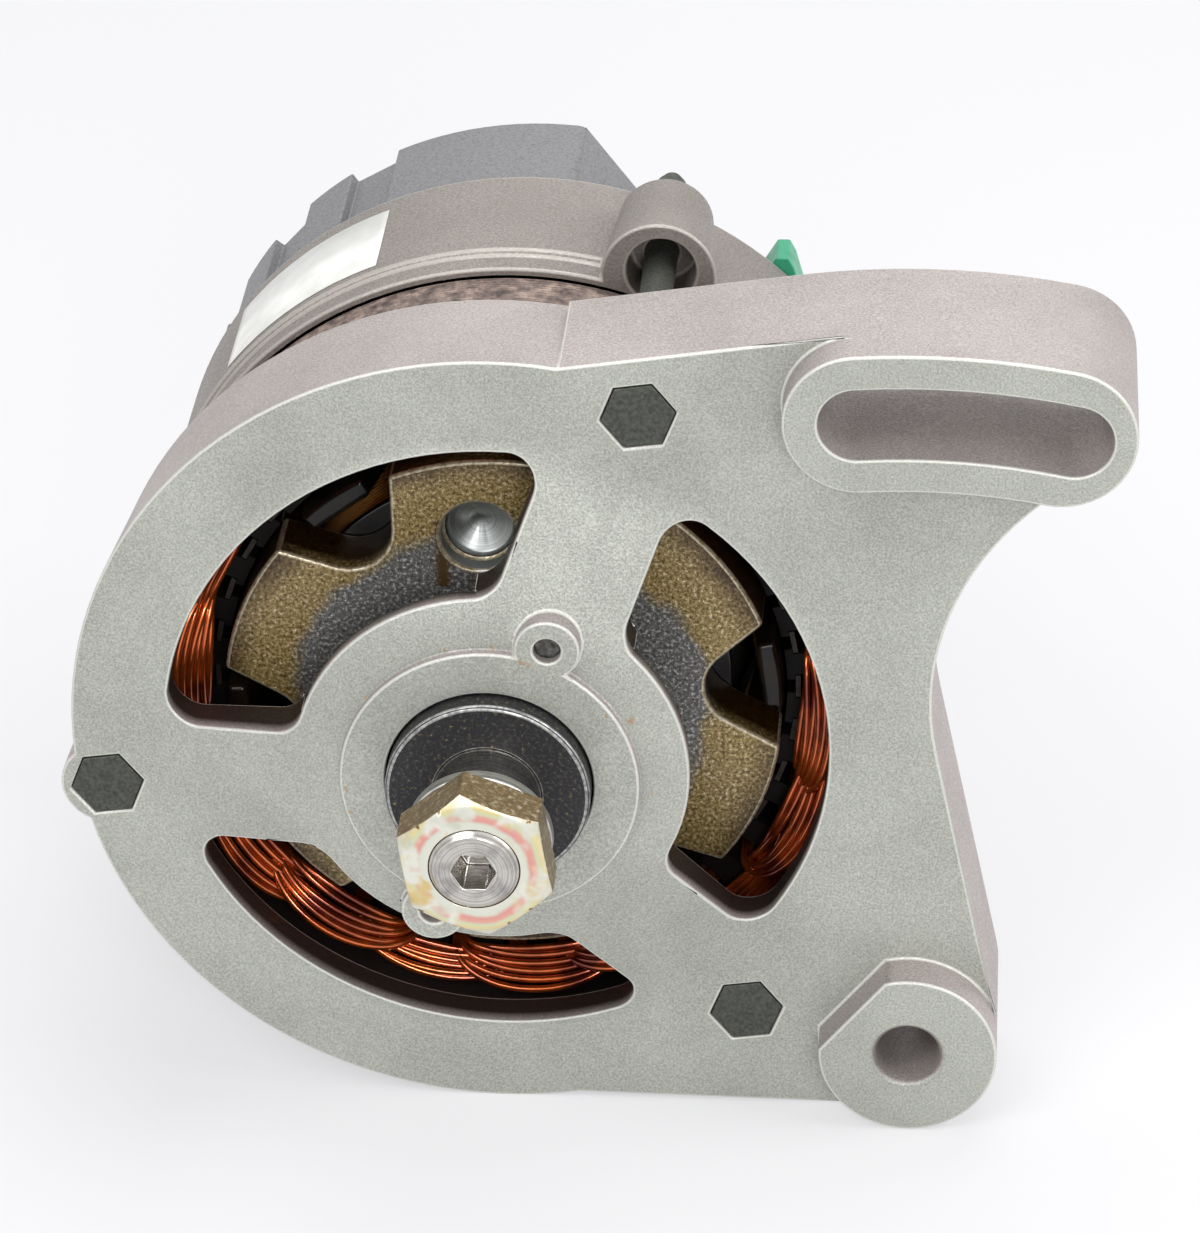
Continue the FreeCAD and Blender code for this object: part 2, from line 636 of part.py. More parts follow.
def window_outline(sketch):
    """The window between the first and second arm, with its four round corners."""
    outer, hub = size_of("window_radius"), size_of("hub_radius")
    half, corner = size_of("arm_half_width"), size_of("window_corner")
    hub_corner = size_of("window_hub_corner")
    first_arm = size_of("arm_angle")
    outer_turn = math.degrees(math.asin((half + corner) / (outer - corner)))
    hub_turn = math.degrees(math.asin((half + hub_corner) / (hub + hub_corner)))
    outer_reach = (outer - corner) * math.cos(math.radians(outer_turn))
    hub_reach = (hub + hub_corner) * math.cos(math.radians(hub_turn))

    def from_arm(arm, side, along, across):
        turn = math.radians(arm)
        return (along * math.cos(turn) - side * across * math.sin(turn),
                along * math.sin(turn) + side * across * math.cos(turn))

    second_arm = first_arm + 120
    start_side = from_arm(first_arm, 1, outer_reach, half), from_arm(first_arm, 1, hub_reach, half)
    end_side = from_arm(second_arm, -1, hub_reach, half), from_arm(second_arm, -1, outer_reach, half)
    outer_arc = arc(sketch, (0, 0), outer, first_arm + outer_turn, second_arm - outer_turn)
    far_corner = arc(sketch, from_arm(second_arm, -1, outer_reach, half + corner), corner,
                     second_arm - outer_turn, second_arm + 90)
    far_side = line(sketch, end_side[1], end_side[0])
    far_hub = arc(sketch, from_arm(second_arm, -1, hub_reach, half + hub_corner), hub_corner,
                  second_arm + 90, second_arm - hub_turn + 180)
    hub_arc = arc(sketch, (0, 0), hub, first_arm + hub_turn, second_arm - hub_turn)
    near_hub = arc(sketch, from_arm(first_arm, 1, hub_reach, half + hub_corner), hub_corner,
                   first_arm + hub_turn + 180, first_arm + 270)
    near_side = line(sketch, start_side[1], start_side[0])
    near_corner = arc(sketch, from_arm(first_arm, 1, outer_reach, half + corner), corner,
                      first_arm + 270, first_arm + outer_turn + 360)
    smooth(sketch, outer_arc, 2, far_corner, 1)
    smooth(sketch, far_corner, 2, far_side, 1)
    smooth(sketch, far_side, 2, far_hub, 1)
    smooth(sketch, far_hub, 2, hub_arc, 2)
    smooth(sketch, hub_arc, 1, near_hub, 1)
    smooth(sketch, near_hub, 2, near_side, 1)
    smooth(sketch, near_side, 2, near_corner, 1)
    smooth(sketch, near_corner, 2, outer_arc, 1)
    for item, radius in ((outer_arc, "window_radius"), (hub_arc, "hub_radius")):
        pin_point(sketch, item, 3, "0", "0")
        datum(sketch, "Radius", (item,), radius)
    for item, radius in ((near_corner, "window_corner"), (far_corner, "window_corner"),
                         (near_hub, "window_hub_corner"), (far_hub, "window_hub_corner")):
        datum(sketch, "Radius", (item,), radius)
    for item, arm, side, reach, radius in (
            (near_corner, "arm_angle", 1, "window_radius - window_corner", "window_corner"),
            (near_hub, "arm_angle", 1, "hub_radius + window_hub_corner", "window_hub_corner"),
            (far_corner, "(arm_angle + 120)", -1, "window_radius - window_corner", "window_corner"),
            (far_hub, "(arm_angle + 120)", -1, "hub_radius + window_hub_corner", "window_hub_corner")):
        lean = f"asin((arm_half_width + {radius}) / ({reach})) / 1 deg"
        datum(sketch, "DistanceX", (-1, 1, item, 3), f"({reach}) * cos({arm} + {side} * {lean})")


def lug_outline(sketch):
    """The lug's raised boss: a round with a flat that faces the shaft."""
    pivot_x, pivot_z = place("pivot_distance", "pivot_angle")
    centre = (size_of(pivot_x), size_of(pivot_z))
    radius = size_of("lug_radius")
    facing = size_of("pivot_angle") + 180
    half = math.degrees(math.acos(size_of("lug_flat") / radius))
    round_side = arc(sketch, centre, radius, facing + half, facing - half + 360)
    ends = [(centre[0] + radius * math.cos(math.radians(facing + turn)),
             centre[1] + radius * math.sin(math.radians(facing + turn))) for turn in (-half, half)]
    flat = line(sketch, *ends)
    meet(sketch, round_side, 2, flat, 1)
    meet(sketch, flat, 2, round_side, 1)
    pin_point(sketch, round_side, 3, pivot_x, pivot_z)
    datum(sketch, "Radius", (round_side,), "lug_radius")
    for point, sign in ((1, "-"), (2, "+")):
        turn = f"pivot_angle + 180 {sign} acos(lug_flat / lug_radius) / 1 deg"
        datum(sketch, "DistanceX", (-1, 1, flat, point), f"{pivot_x} + lug_radius * cos({turn})")


def make_drive_end_bracket():
    """Front casting: rim, cone of three arms, hub ring with two lobes, lug, ear and slot."""
    body = new_body("drive_end_bracket")
    rim = cross_sketch(body, FACE)
    circle(rim, "0", "0", "rim_radius")
    pad(body, rim, "rim_depth", "-rim_draft")
    plate = cross_sketch(body, FACE)
    plate_outline(plate)
    pad(body, plate, "ear_depth")
    bump = cross_sketch(body, FACE)
    circle(bump, *place("bolt_circle", "arm_angle"), "bolt_boss_radius")
    repeat(body, [pad(body, bump, "rim_depth", "-rim_draft / 2")], "3")
    turned(body, [("0", FACE), ("cone_radius", FACE),
                  ("ring_radius + 1.6", "seat_stand - cone_rise"), ("ring_radius + 0.3", "seat_stand - cone_rise"),
                  ("ring_radius", "seat_stand - cone_rise - 0.4"), ("ring_radius", HUB_FRONT), ("0", HUB_FRONT)])
    lobe = cross_sketch(body, HUB_FRONT)
    circle(lobe, *place("retainer_screw_distance", "arm_angle"), "lobe_radius")
    circle(lobe, *place("retainer_screw_distance", "(arm_angle + 180)"), "lobe_radius")
    pad(body, lobe, "lobe_depth")
    ear = cross_sketch(body, BOSS_FRONT)
    arc_slot(ear, f"{EAR_REACH} - ear_half_width", f"{EAR_REACH} + ear_half_width", "ear_start", "ear_end")
    pad(body, ear, "boss_rise + 1")
    lug = cross_sketch(body, BOSS_FRONT)
    lug_outline(lug)
    pad(body, lug, "boss_rise + 1")
    # Inside: the back of the arms follows the cone, and the stack seats against a shoulder.
    back = "seat_stand + rim_depth + 1"
    turned(body, [("0", HUB_BACK), ("hub_radius - 0.5", HUB_BACK), ("hub_radius - 0.5", "seat_stand"),
                  ("window_radius + 1", "seat_stand + web_thickness"),
                  ("shell_bore", "seat_stand + web_thickness"), ("shell_bore", STACK_FRONT),
                  ("stator_radius + fit_play", STACK_FRONT), ("stator_radius + fit_play", back),
                  ("0", back)], cut=True)
    # Behind each window the hub's outside slopes in to its foot, so that air and eye pass it.
    slope = plane_sketch(body, "XY_Plane")
    middle = "arm_angle + 60"
    slope.AttachmentOffset = FreeCAD.Placement(
        FreeCAD.Vector(0, 0, 0), FreeCAD.Rotation(FreeCAD.Vector(0, -1, 0), size_of(middle)))
    bind(slope, ".AttachmentOffset.Rotation.Angle", middle)
    edge = f"{HUB_FRONT} + hub_edge"
    polygon(slope, [("hub_foot_radius", HUB_BACK), ("hub_radius", edge), ("hub_radius", f"{HUB_BACK} + 1"),
                    ("hub_foot_radius", f"{HUB_BACK} + 1")])
    relief = body.newObject("PartDesign::Groove", "relief")
    relief.Profile = slope
    relief.ReferenceAxis = (slope, ["V_Axis"])
    relief.Midplane = True
    bind(relief, "Angle", "hub_slope_sweep")
    repeat(body, [relief], "3")
    post = cross_sketch(body, edge)
    circle(post, *place("retainer_screw_distance", "(arm_angle + 180)"), "screw_post_radius")
    pad(body, post, f"{HUB_BACK} - ({edge})")
    ring(body, "0", "spacer_radius + spacer_play", f"{HUB_FRONT} - 1", HUB_BACK, cut=True)
    ring(body, "0", "front_bearing_outer + fit_play", FRONT_BEARING, f"{HUB_BACK} + 1", cut=True)
    for corners in WEB_HOLLOWS:
        hollow = cross_sketch(body, "seat_stand + web_thickness")
        polygon(hollow, [(str(x), str(z)) for x, z in corners])
        pocket(body, hollow, "ear_depth")
    window = cross_sketch(body, HUB_FRONT)
    window_outline(window)
    cut = pocket(body, window, "ring_rise + web_thickness + 2")
    repeat(body, [cut], "3")
    slot = cross_sketch(body, f"{BOSS_FRONT} - 1")
    arc_slot(slot, f"{EAR_REACH} - slot_half_width", f"{EAR_REACH} + slot_half_width", "slot_start", "slot_end")
    pocket(body, slot, "boss_rise + ear_depth + 2")
    pivot = place("pivot_distance", "pivot_angle")
    bore = cross_sketch(body, f"{BOSS_FRONT} - 1")
    circle(bore, *pivot, "pivot_bore_radius")
    pocket(body, bore, "boss_rise + ear_depth + 2")
    mouth = cross_sketch(body, BOSS_FRONT)
    circle(mouth, *pivot, "pivot_bore_radius + pivot_chamfer")
    pocket(body, mouth, "pivot_chamfer", "-45")
    head = cross_sketch(body, FACE)
    hexagon(head, *place("bolt_circle", "arm_angle"), "bolt_head_flats + 2 * socket_play", "bolt_turn")
    head_cut = pocket(body, head, "bolt_head_height")
    shank = cross_sketch(body, FACE)
    circle(shank, *place("bolt_circle", "arm_angle"), "bolt_radius + bolt_play")
    repeat(body, [head_cut, pocket(body, shank, "rim_depth + 1")], "3")
    for turn in ("0", "180"):
        screw = cross_sketch(body, f"{HUB_FRONT} - 1")
        centre = place("retainer_screw_distance", f"(arm_angle + {turn})")
        circle(screw, *centre, "retainer_screw_radius + fit_play")
        pocket(body, screw, f"{HUB_BACK} - {HUB_FRONT} + 2")
    return body


# Rear bracket


def make_rear_bracket():
    """Rear casting: cup over the stack with a flared boss for each through bolt and a bearing hub."""
    body = new_body("rear_bracket")
    step = f"{REAR_FRONT} + rear_lip_length"
    turned(body, [("0", REAR_FRONT), ("rear_radius - rear_lip_step", REAR_FRONT),
                  ("rear_radius - rear_lip_step", f"{step} - rear_lip_step"), ("rear_radius", step),
                  ("rear_radius", f"{REAR_BACK} - 1"), ("rear_radius - 1", REAR_BACK), ("0", REAR_BACK)])
    boss = cross_sketch(body, REAR_FRONT)
    circle(boss, *place("bolt_circle", "arm_angle"), "rear_boss_radius")
    repeat(body, [pad(body, boss, "rear_boss_length", "-rear_boss_draft")], "3")
    wall = f"{REAR_BACK} - rear_wall"
    hub = f"{REAR_BACK} - rear_hub_length"
    turned(body, [("0", f"{REAR_FRONT} - 1"), ("stator_radius + fit_play", f"{REAR_FRONT} - 1"),
                  ("stator_radius + fit_play", STACK_BACK), ("rear_bore", STACK_BACK),
                  ("rear_bore", f"{wall} - 3"), ("rear_bore - 3", wall), ("rear_hub_radius + 2", wall),
                  ("rear_hub_radius", f"{wall} - 2"), ("rear_hub_radius", hub), ("0", hub)], cut=True)
    ring(body, "0", "rear_bearing_outer + sleeve_wall + fit_play", f"{hub} - 1", REAR_SEAT, cut=True)
    ring(body, "0", "rear_neck_bore", f"{hub} - 1", f"{REAR_BACK} + 1", cut=True)
    vent = cross_sketch(body, f"{wall} - 1")
    corners = []
    for reach, side in (("vent_inner", "-"), ("vent_outer", "-"), ("vent_outer", "+"), ("vent_inner", "+")):
        corners.append(place(reach, f"(vent_start {side} vent_half_angle)"))
    polygon(vent, corners)
    repeat(body, [pocket(body, vent, "rear_wall + 2")], "vent_count")
    recess = cross_sketch(body, f"{REAR_FRONT} - 1")
    circle(recess, *place("bolt_circle + 1.2", "arm_angle"), "rear_pocket_radius")
    recess_cut = pocket(body, recess, "rear_pocket_depth + 1")
    thread = cross_sketch(body, REAR_FRONT)
    circle(thread, *place("bolt_circle", "arm_angle"), "bolt_radius + fit_play")
    repeat(body, [recess_cut, pocket(body, thread, "rear_length + 1")], "3")
    screws = cross_sketch(body, f"{wall} - 1")
    for angle in POSITIVE_SCREWS:
        circle(screws, *place(DIODE_REACH, angle), "screw_radius + fit_play")
    circle(screws, *place(DIODE_REACH_OUT, NEGATIVE_SCREW), "screw_radius + fit_play")
    for angle in COVER_STUDS:
        circle(screws, *place(COVER_STUD_REACH, angle), "cover_stud_radius + fit_play")
    for side in ("-", ""):
        circle(screws, f"{side}regulator_screw_x", f"-{REGULATOR_SCREW_Z}", "screw_radius + fit_play")
    pocket(body, screws, "rear_wall + 2")
    return body


# Stator


def make_stator_core():
    """Laminated stack with open slots towards the rotor."""
    body = new_body("stator_core")
    ring(body, STATOR_BORE, "stator_radius", STACK_FRONT, STACK_BACK)
    slot = cross_sketch(body, f"{STACK_FRONT} - 1")
    tip = f"({STATOR_BORE} + tooth_tip)"
    polygon(slot, [("-slot_mouth / 2", f"{STATOR_BORE} - 1"), ("slot_mouth / 2", f"{STATOR_BORE} - 1"),
                   ("slot_mouth / 2", tip), ("slot_width / 2", tip),
                   ("slot_width / 2", f"{SLOT_BOTTOM} - 1"), ("slot_width / 2 - 1", SLOT_BOTTOM),
                   ("1 - slot_width / 2", SLOT_BOTTOM), ("-slot_width / 2", f"{SLOT_BOTTOM} - 1"),
                   ("-slot_width / 2", tip), ("-slot_mouth / 2", tip)])
    repeat(body, [pocket(body, slot, "stack_length + 2")], "slot_count")
    return body


def tilted_sketch(body, turn, reach):
    """A flat sketch facing away from the shaft at the angle turn from +Z, its X along the rim."""
    sketch = body.newObject("Sketcher::SketchObject", "sketch")
    sketch.AttachmentSupport = [(origin_item(body, "XY_Plane"), "")]
    sketch.MapMode = "FlatFace"
    sketch.AttachmentOffset = FreeCAD.Placement(
        FreeCAD.Vector(0, 0, 0), FreeCAD.Rotation(FreeCAD.Vector(0, 1, 0), float(turn)))
    bind(sketch, ".AttachmentOffset.Base.x", f"({reach}) * sin({turn})")
    bind(sketch, ".AttachmentOffset.Base.z", f"({reach}) * cos({turn})")
    return sketch


def make_stator_winding():
    """Eighteen closed coils in three layers, each filling two slots three pitches apart."""
    body = new_body("stator_winding")
    features = []
    pitch = "(360 / slot_count)"
    for layer in range(3):
        turn = size_of(f"{pitch} * {layer + 0.5}")
        leg = f"({SLOT_FLOOR} + coil_first_share * {SLOT_ROOM} + {layer} * {COIL_STEP})"
        reach = f"({leg} * cos(1.5 * 360 / slot_count) - {COIL_THICKNESS} / 2)"
        side = f"({leg} * sin(1.5 * 360 / slot_count) + coil_width / 2)"
        height = f"(coil_height + {layer} * coil_height_step)"
        sketch = tilted_sketch(body, turn, reach)
        for inset, drop, cut in (("0", "0", "coil_corner"), ("coil_width", "coil_bar", "coil_corner / 2")):
            x = f"({side} - {inset})"
            low = f"({STACK_FRONT} - {height} + {drop})"
            high = f"({STACK_BACK} + {height} - {drop})"
            polygon(sketch, [(f"{x} - {cut}", low), (x, f"{low} + {cut}"), (x, f"{high} - {cut}"),
                             (f"{x} - {cut}", high), (f"{cut} - {x}", high), (f"-{x}", f"{high} - {cut}"),
                             (f"-{x}", f"{low} + {cut}"), (f"{cut} - {x}", low)])
        loop = body.newObject("PartDesign::Pad", "loop")
        loop.Profile = sketch
        bind(loop, "Length", COIL_THICKNESS)
        features.append(loop)
        for sign in ("-", "+"):
            bar = cross_sketch(body, f"{STACK_FRONT} - 0.6")
            angle = f"(90 - {turn} {sign} 1.5 * 360 / slot_count)"
            half = "(slot_width / 2 - slot_liner)"
            high = f"({SLOT_BOTTOM} - slot_liner)"
            corners = []
            for across, along in ((f"-{half}", SLOT_FLOOR), (half, SLOT_FLOOR), (half, f"{high} - 1"),
                                  (f"{half} - 1", high), (f"1 - {half}", high), (f"-{half}", f"{high} - 1")):
                corners.append((f"({along}) * cos({angle}) - ({across}) * sin({angle})",
                                f"({along}) * sin({angle}) + ({across}) * cos({angle})"))
            polygon(bar, corners)
            features.append(pad(body, bar, "stack_length + 1.2"))
    repeat(body, features, "slot_count / 6")
    return body


def make_slot_wedges():
    """Strips that close the slot mouths."""
    body = new_body("slot_wedges")
    wedge = cross_sketch(body, STACK_FRONT)
    low = f"({STATOR_BORE} + tooth_tip + slot_liner / 2)"
    half = "(slot_width / 2 - slot_liner)"
    polygon(wedge, [(f"-{half}", low), (half, low), (half, f"{low} + wedge_thickness"),
                    (f"-{half}", f"{low} + wedge_thickness")])
    repeat(body, [pad(body, wedge, "stack_length")], "slot_count")
    return body


# Bearings

BEARINGS = {
    "front": ("shaft_radius", FRONT_BEARING),
    "rear": ("rear_journal_radius", REAR_BEARING),
}


def bearing_sizes(end):
    shaft, start = BEARINGS[end]
    pitch = f"(({shaft} + {end}_bearing_outer) / 2)"
    middle = f"({start} + {end}_bearing_width / 2)"
    return shaft, start, pitch, middle


def bevelled(body, inner, outer, start, end, bevel):
    """A ring with small bevels on its four corners."""
    turned(body, [(f"{inner} + {bevel}", start), (f"{outer} - {bevel}", start), (outer, f"{start} + {bevel}"),
                  (outer, f"{end} - {bevel}"), (f"{outer} - {bevel}", end), (f"{inner} + {bevel}", end),
                  (inner, f"{end} - {bevel}"), (inner, f"{start} + {bevel}")])


def make_bearing_ring(end, side):
    shaft, start, pitch, middle = bearing_sizes(end)
    body = new_body(f"{end}_bearing_{side}_ring")
    stop = f"({start} + {end}_bearing_width)"
    if side == "inner":
        bevelled(body, f"({shaft} + fit_play)", f"({pitch} - race_gap)", start, stop, "0.4")
    else:
        bevelled(body, f"({pitch} + race_gap)", f"{end}_bearing_outer", start, stop, "0.4")
    turned_groove(body, pitch, middle, f"{end}_ball_radius + ball_play")
    return body


def make_balls(end):
    _, _, pitch, middle = bearing_sizes(end)
    body = new_body(f"{end}_bearing_balls")
    repeat(body, [sphere(body, "Additive", f"{end}_ball_radius", pitch, middle)], f"{end}_ball_count")
    return body


def make_cage(end):
    """Ring between the races with a round pocket for each ball."""
    _, _, pitch, middle = bearing_sizes(end)
    body = new_body(f"{end}_bearing_cage")
    half = f"({end}_ball_radius + cage_wall)"
    ring(body, f"{pitch} - cage_wall", f"{pitch} + cage_wall", f"{middle} - {half}", f"{middle} + {half}")
    hole = plane_sketch(body, "YZ_Plane", f"{pitch} + cage_wall + 1")
    circle(hole, middle, "0", f"{end}_ball_radius + ball_play")
    cut = body.newObject("PartDesign::Pocket", "ball_pocket")
    cut.Profile = hole
    bind(cut, "Length", "2 * cage_wall + 2")
    repeat(body, [cut], f"{end}_ball_count")
    return body


def make_bearing_sleeve():
    """Plastic sleeve between the rear bearing and its hub."""
    body = new_body("bearing_sleeve")
    outer = "rear_bearing_outer + sleeve_wall"
    ring(body, "rear_bearing_outer + fit_play", outer, REAR_BEARING, REAR_SEAT)
    return body


def make_retainer_plate():
    body = new_body("bearing_retainer_plate")
    plate = cross_sketch(body, HUB_BACK)
    circle(plate, "0", "0", "retainer_radius")
    pad(body, plate, "retainer_thickness")
    for turn in ("0", "180"):
        centre = place("retainer_screw_distance", f"(arm_angle + {turn})")
        ear = cross_sketch(body, HUB_BACK)
        circle(ear, *centre, "retainer_head_radius")
        pad(body, ear, "retainer_thickness")
        hole = cross_sketch(body, f"{HUB_BACK} - 1")
        circle(hole, *centre, "retainer_screw_radius + fit_play")
        pocket(body, hole, "retainer_thickness + 2")
    ring(body, "0", "retainer_bore", f"{HUB_BACK} - 1", f"{HUB_BACK} + retainer_thickness + 1", cut=True)
    return body


def make_screws(label, places, seat, end, shank, head, height):
    """Round-headed screws from the seat of the head back towards -Y, with a cross recess."""
    body = new_body(label)
    for centre in places:
        stem = cross_sketch(body, end)
        circle(stem, *centre, shank)
        pad(body, stem, f"({seat}) - ({end}) + 0.2")
        cap = cross_sketch(body, seat)
        circle(cap, *centre, head)
        pad(body, cap, height, "-12")
        recess = cross_sketch(body, f"{seat} + {height} / 2")
        arm = f"({head} * 0.55)"
        slot = f"({head} * 0.14)"
        x, z = centre
        polygon(recess, [(f"{x} + {dx}", f"{z} + {dz}") for dx, dz in (
            (slot, slot), (slot, arm), (f"-{slot}", arm), (f"-{slot}", slot), (f"-{arm}", slot),
            (f"-{arm}", f"-{slot}"), (f"-{slot}", f"-{slot}"), (f"-{slot}", f"-{arm}"),
            (slot, f"-{arm}"), (slot, f"-{slot}"), (arm, f"-{slot}"), (arm, slot))])
        pocket(body, recess, height)
    return body


def make_retainer_screws():
    places = [place("retainer_screw_distance", f"(arm_angle + {turn})") for turn in ("0", "180")]
    return make_screws("retainer_screws", places, f"({HUB_BACK} + retainer_thickness)",
                       f"{HUB_FRONT} + retainer_screw_recess", "retainer_screw_radius",
                       "retainer_head_radius", "retainer_head_height")


def make_through_bolts():
    """Three long bolts with flush hexagon heads and turned-down ends."""
    body = new_body("through_bolts")
    centre = place("bolt_circle", "arm_angle")
    head = cross_sketch(body, FACE)
    hexagon(head, *centre, "bolt_head_flats", "bolt_turn")
    features = [pad(body, head, "bolt_head_height")]
    shank = cross_sketch(body, "seat_stand + bolt_head_height / 2")
    circle(shank, *centre, "bolt_radius")
    features.append(pad(body, shank, "bolt_reach - bolt_head_height / 2"))
    tip = cross_sketch(body, "seat_stand + bolt_reach - 1")
    circle(tip, *centre, "bolt_pilot_radius")
    features.append(pad(body, tip, "bolt_pilot_length + 1"))
    repeat(body, features, "3")
    return body


# Rotor


def make_rotor_shaft():
    """Shaft with thread, plain neck, collar, pole seat, rear journal and a hexagon socket."""
    body = new_body("rotor_shaft")
    shoulder = "(rear_journal_radius + 2.2)"
    turned(body, [("0", "-nose_length"), ("thread_radius - nose_chamfer", "-nose_length"),
                  ("thread_radius", "nose_chamfer - nose_length"), ("thread_radius", NECK_END),
                  ("shaft_radius", NECK_END), ("shaft_radius", HUB_BACK), ("collar_radius", HUB_BACK),
                  ("collar_radius", ROTOR_FRONT), ("pole_seat_radius", ROTOR_FRONT),
                  ("pole_seat_radius", ROTOR_BACK), (shoulder, ROTOR_BACK), (shoulder, REAR_BEARING),
                  ("rear_journal_radius", REAR_BEARING), ("rear_journal_radius", f"{SHAFT_END} - 0.8"),
                  ("rear_journal_radius - 0.8", SHAFT_END), ("0", SHAFT_END)])
    socket = cross_sketch(body, "-nose_length - 1")
    hexagon(socket, "0", "0", "socket_flats")
    pocket(body, socket, "socket_depth + 1")
    return body


def make_claw_pole(end):
    """Disc with six U notches and six claws that taper along the rotor and in thickness."""
    body = new_body(f"{end}_claw_pole")
    front = end == "front"
    outside = ROTOR_FRONT if front else ROTOR_BACK
    start = outside if front else f"({ROTOR_BACK} - pole_thickness)"
    inside = f"({ROTOR_FRONT} + pole_thickness)" if front else f"({ROTOR_BACK} - pole_thickness)"
    far = f"({ROTOR_BACK} - claw_setback)" if front else f"({ROTOR_FRONT} + claw_setback)"
    middle = "(notch_angle + 180 / pole_count)" if front else "notch_angle"
    ring(body, "pole_seat_radius + fit_play", "rotor_radius", start, f"{start} + pole_thickness")
    notch_at = "notch_angle" if front else "(notch_angle + 180 / pole_count)"
    notch = cross_sketch(body, f"{start} - 1")
    corners = []
    low = f"({NOTCH_REACH} + notch_radius - notch_radius * sin(notch_flare))"
    high = "(rotor_radius + 2)"
    narrow = "(notch_radius * cos(notch_flare))"
    wide = f"({narrow} + ({high} - {low}) * tan(notch_flare))"
    for along, across in ((low, f"-{narrow}"), (high, f"-{wide}"), (high, wide), (low, narrow)):
        corners.append((f"{along} * cos({notch_at}) - ({across}) * sin({notch_at})",
                        f"{along} * sin({notch_at}) + ({across}) * cos({notch_at})"))
    polygon(notch, corners)
    open_cut = pocket(body, notch, "pole_thickness + 2")
    bottom = cross_sketch(body, f"{start} - 1")
    circle(bottom, *place(f"({NOTCH_REACH} + notch_radius)", notch_at), "notch_radius")
    repeat(body, [open_cut, pocket(body, bottom, "pole_thickness + 2")], "pole_count")

    def claw_section(station, low, half, slope):
        sketch = cross_sketch(body, station)
        high = "(rotor_radius + 1.5)"
        places = []
        for along, across in ((low, f"-({half} - {slope})"), (high, f"-{half}"), (high, half),
                              (low, f"({half} - {slope})")):
            places.append((f"{along} * cos({middle}) - ({across}) * sin({middle})",
                           f"{along} * sin({middle}) + ({across}) * cos({middle})"))
        polygon(sketch, places)
        return sketch

    root = claw_section(f"({inside}) {'-' if front else '+'} 2", CLAW_ROOT_INNER,
                        "claw_root_half_width", "claw_side_slope")
    tip = claw_section(far, "(rotor_radius - claw_tip_thickness)", "claw_tip_half_width", "0.5")
    claw = body.newObject("PartDesign::AdditiveLoft", "claw")
    claw.Profile = root
    claw.Sections = [tip]
    claw.Ruled = True
    repeat(body, [claw], "pole_count")
    ring(body, "rotor_radius", "rotor_radius + 6", f"{ROTOR_FRONT} - 1", f"{ROTOR_BACK} + 1", cut=True)
    if front:
        hole = place("balance_distance", "balance_angle")
        drill = cross_sketch(body, f"{ROTOR_FRONT} - 1")
        circle(drill, *hole, "balance_radius")
        pocket(body, drill, "balance_depth + 1")
        cone = cross_sketch(body, "seat_stand + rotor_setback + balance_depth")
        circle(cone, *hole, "balance_radius - 0.01")
        pocket(body, cone, "balance_radius * 0.5", "-59")
    return body


def make_field_core():
    body = new_body("field_core")
    inner = "pole_seat_radius + fit_play"
    ring(body, inner, "core_radius", f"{ROTOR_FRONT} + pole_thickness", f"{ROTOR_BACK} - pole_thickness")
    return body


def make_coil_bobbin():
    """Spool between the pole discs."""
    body = new_body("coil_bobbin")
    front = f"({ROTOR_FRONT} + pole_thickness)"
    back = f"({ROTOR_BACK} - pole_thickness)"
    inner = "(core_radius + fit_play)"
    turned(body, [(inner, front), (BOBBIN_RADIUS, front), (BOBBIN_RADIUS, f"{front} + bobbin_wall"),
                  (f"{inner} + bobbin_wall", f"{front} + bobbin_wall"),
                  (f"{inner} + bobbin_wall", f"{back} - bobbin_wall"),
                  (BOBBIN_RADIUS, f"{back} - bobbin_wall"), (BOBBIN_RADIUS, back), (inner, back)])
    return body


def make_field_coil():
    body = new_body("field_coil")
    inner = "core_radius + bobbin_wall + 2 * fit_play"
    ring(body, inner, f"{BOBBIN_RADIUS} - coil_inset", f"{ROTOR_FRONT} + pole_thickness + bobbin_wall",
         f"{ROTOR_BACK} - pole_thickness - bobbin_wall")
    return body


def make_slip_ring_carrier():
    """Plastic hub of the slip rings with a flange before, between and behind them."""
    body = new_body("slip_ring_carrier")
    inner = "(rear_journal_radius + fit_play)"
    seat = "(slip_ring_radius - slip_ring_wall)"
    rim = "(slip_ring_radius - carrier_rise)"
    end = f"({REAR_RING} + slip_ring_width)"
    turned(body, [(inner, REAR_SEAT), (f"{seat} - 1", REAR_SEAT), (f"{seat} - 1", f"{FRONT_RING} - carrier_flange"),
                  (rim, f"{FRONT_RING} - carrier_flange"), (rim, FRONT_RING), (seat, FRONT_RING),
                  (seat, f"{FRONT_RING} + slip_ring_width"), (rim, f"{FRONT_RING} + slip_ring_width"),
                  (rim, REAR_RING), (seat, REAR_RING), (seat, end), (rim, end),
                  (rim, f"{end} + carrier_flange"), (inner, f"{end} + carrier_flange")])
    return body


def make_slip_ring(end, start):
    body = new_body(f"{end}_slip_ring")
    inner = "slip_ring_radius - slip_ring_wall + fit_play"
    ring(body, inner, "slip_ring_radius", start, f"{start} + slip_ring_width")
    return body


def make_pulley_spacer():
    """Disc that the pulley sits against, with a sleeve down to the bearing's inner ring."""
    body = new_body("pulley_spacer")
    inner = "(shaft_radius + fit_play)"
    turned(body, [(inner, "0"), ("spacer_radius - 0.5", "0"), ("spacer_radius", "0.5"),
                  ("spacer_radius", "spacer_thickness"), ("collar_radius", "spacer_thickness"),
                  ("collar_radius", FRONT_BEARING), (inner, FRONT_BEARING)])
    return body


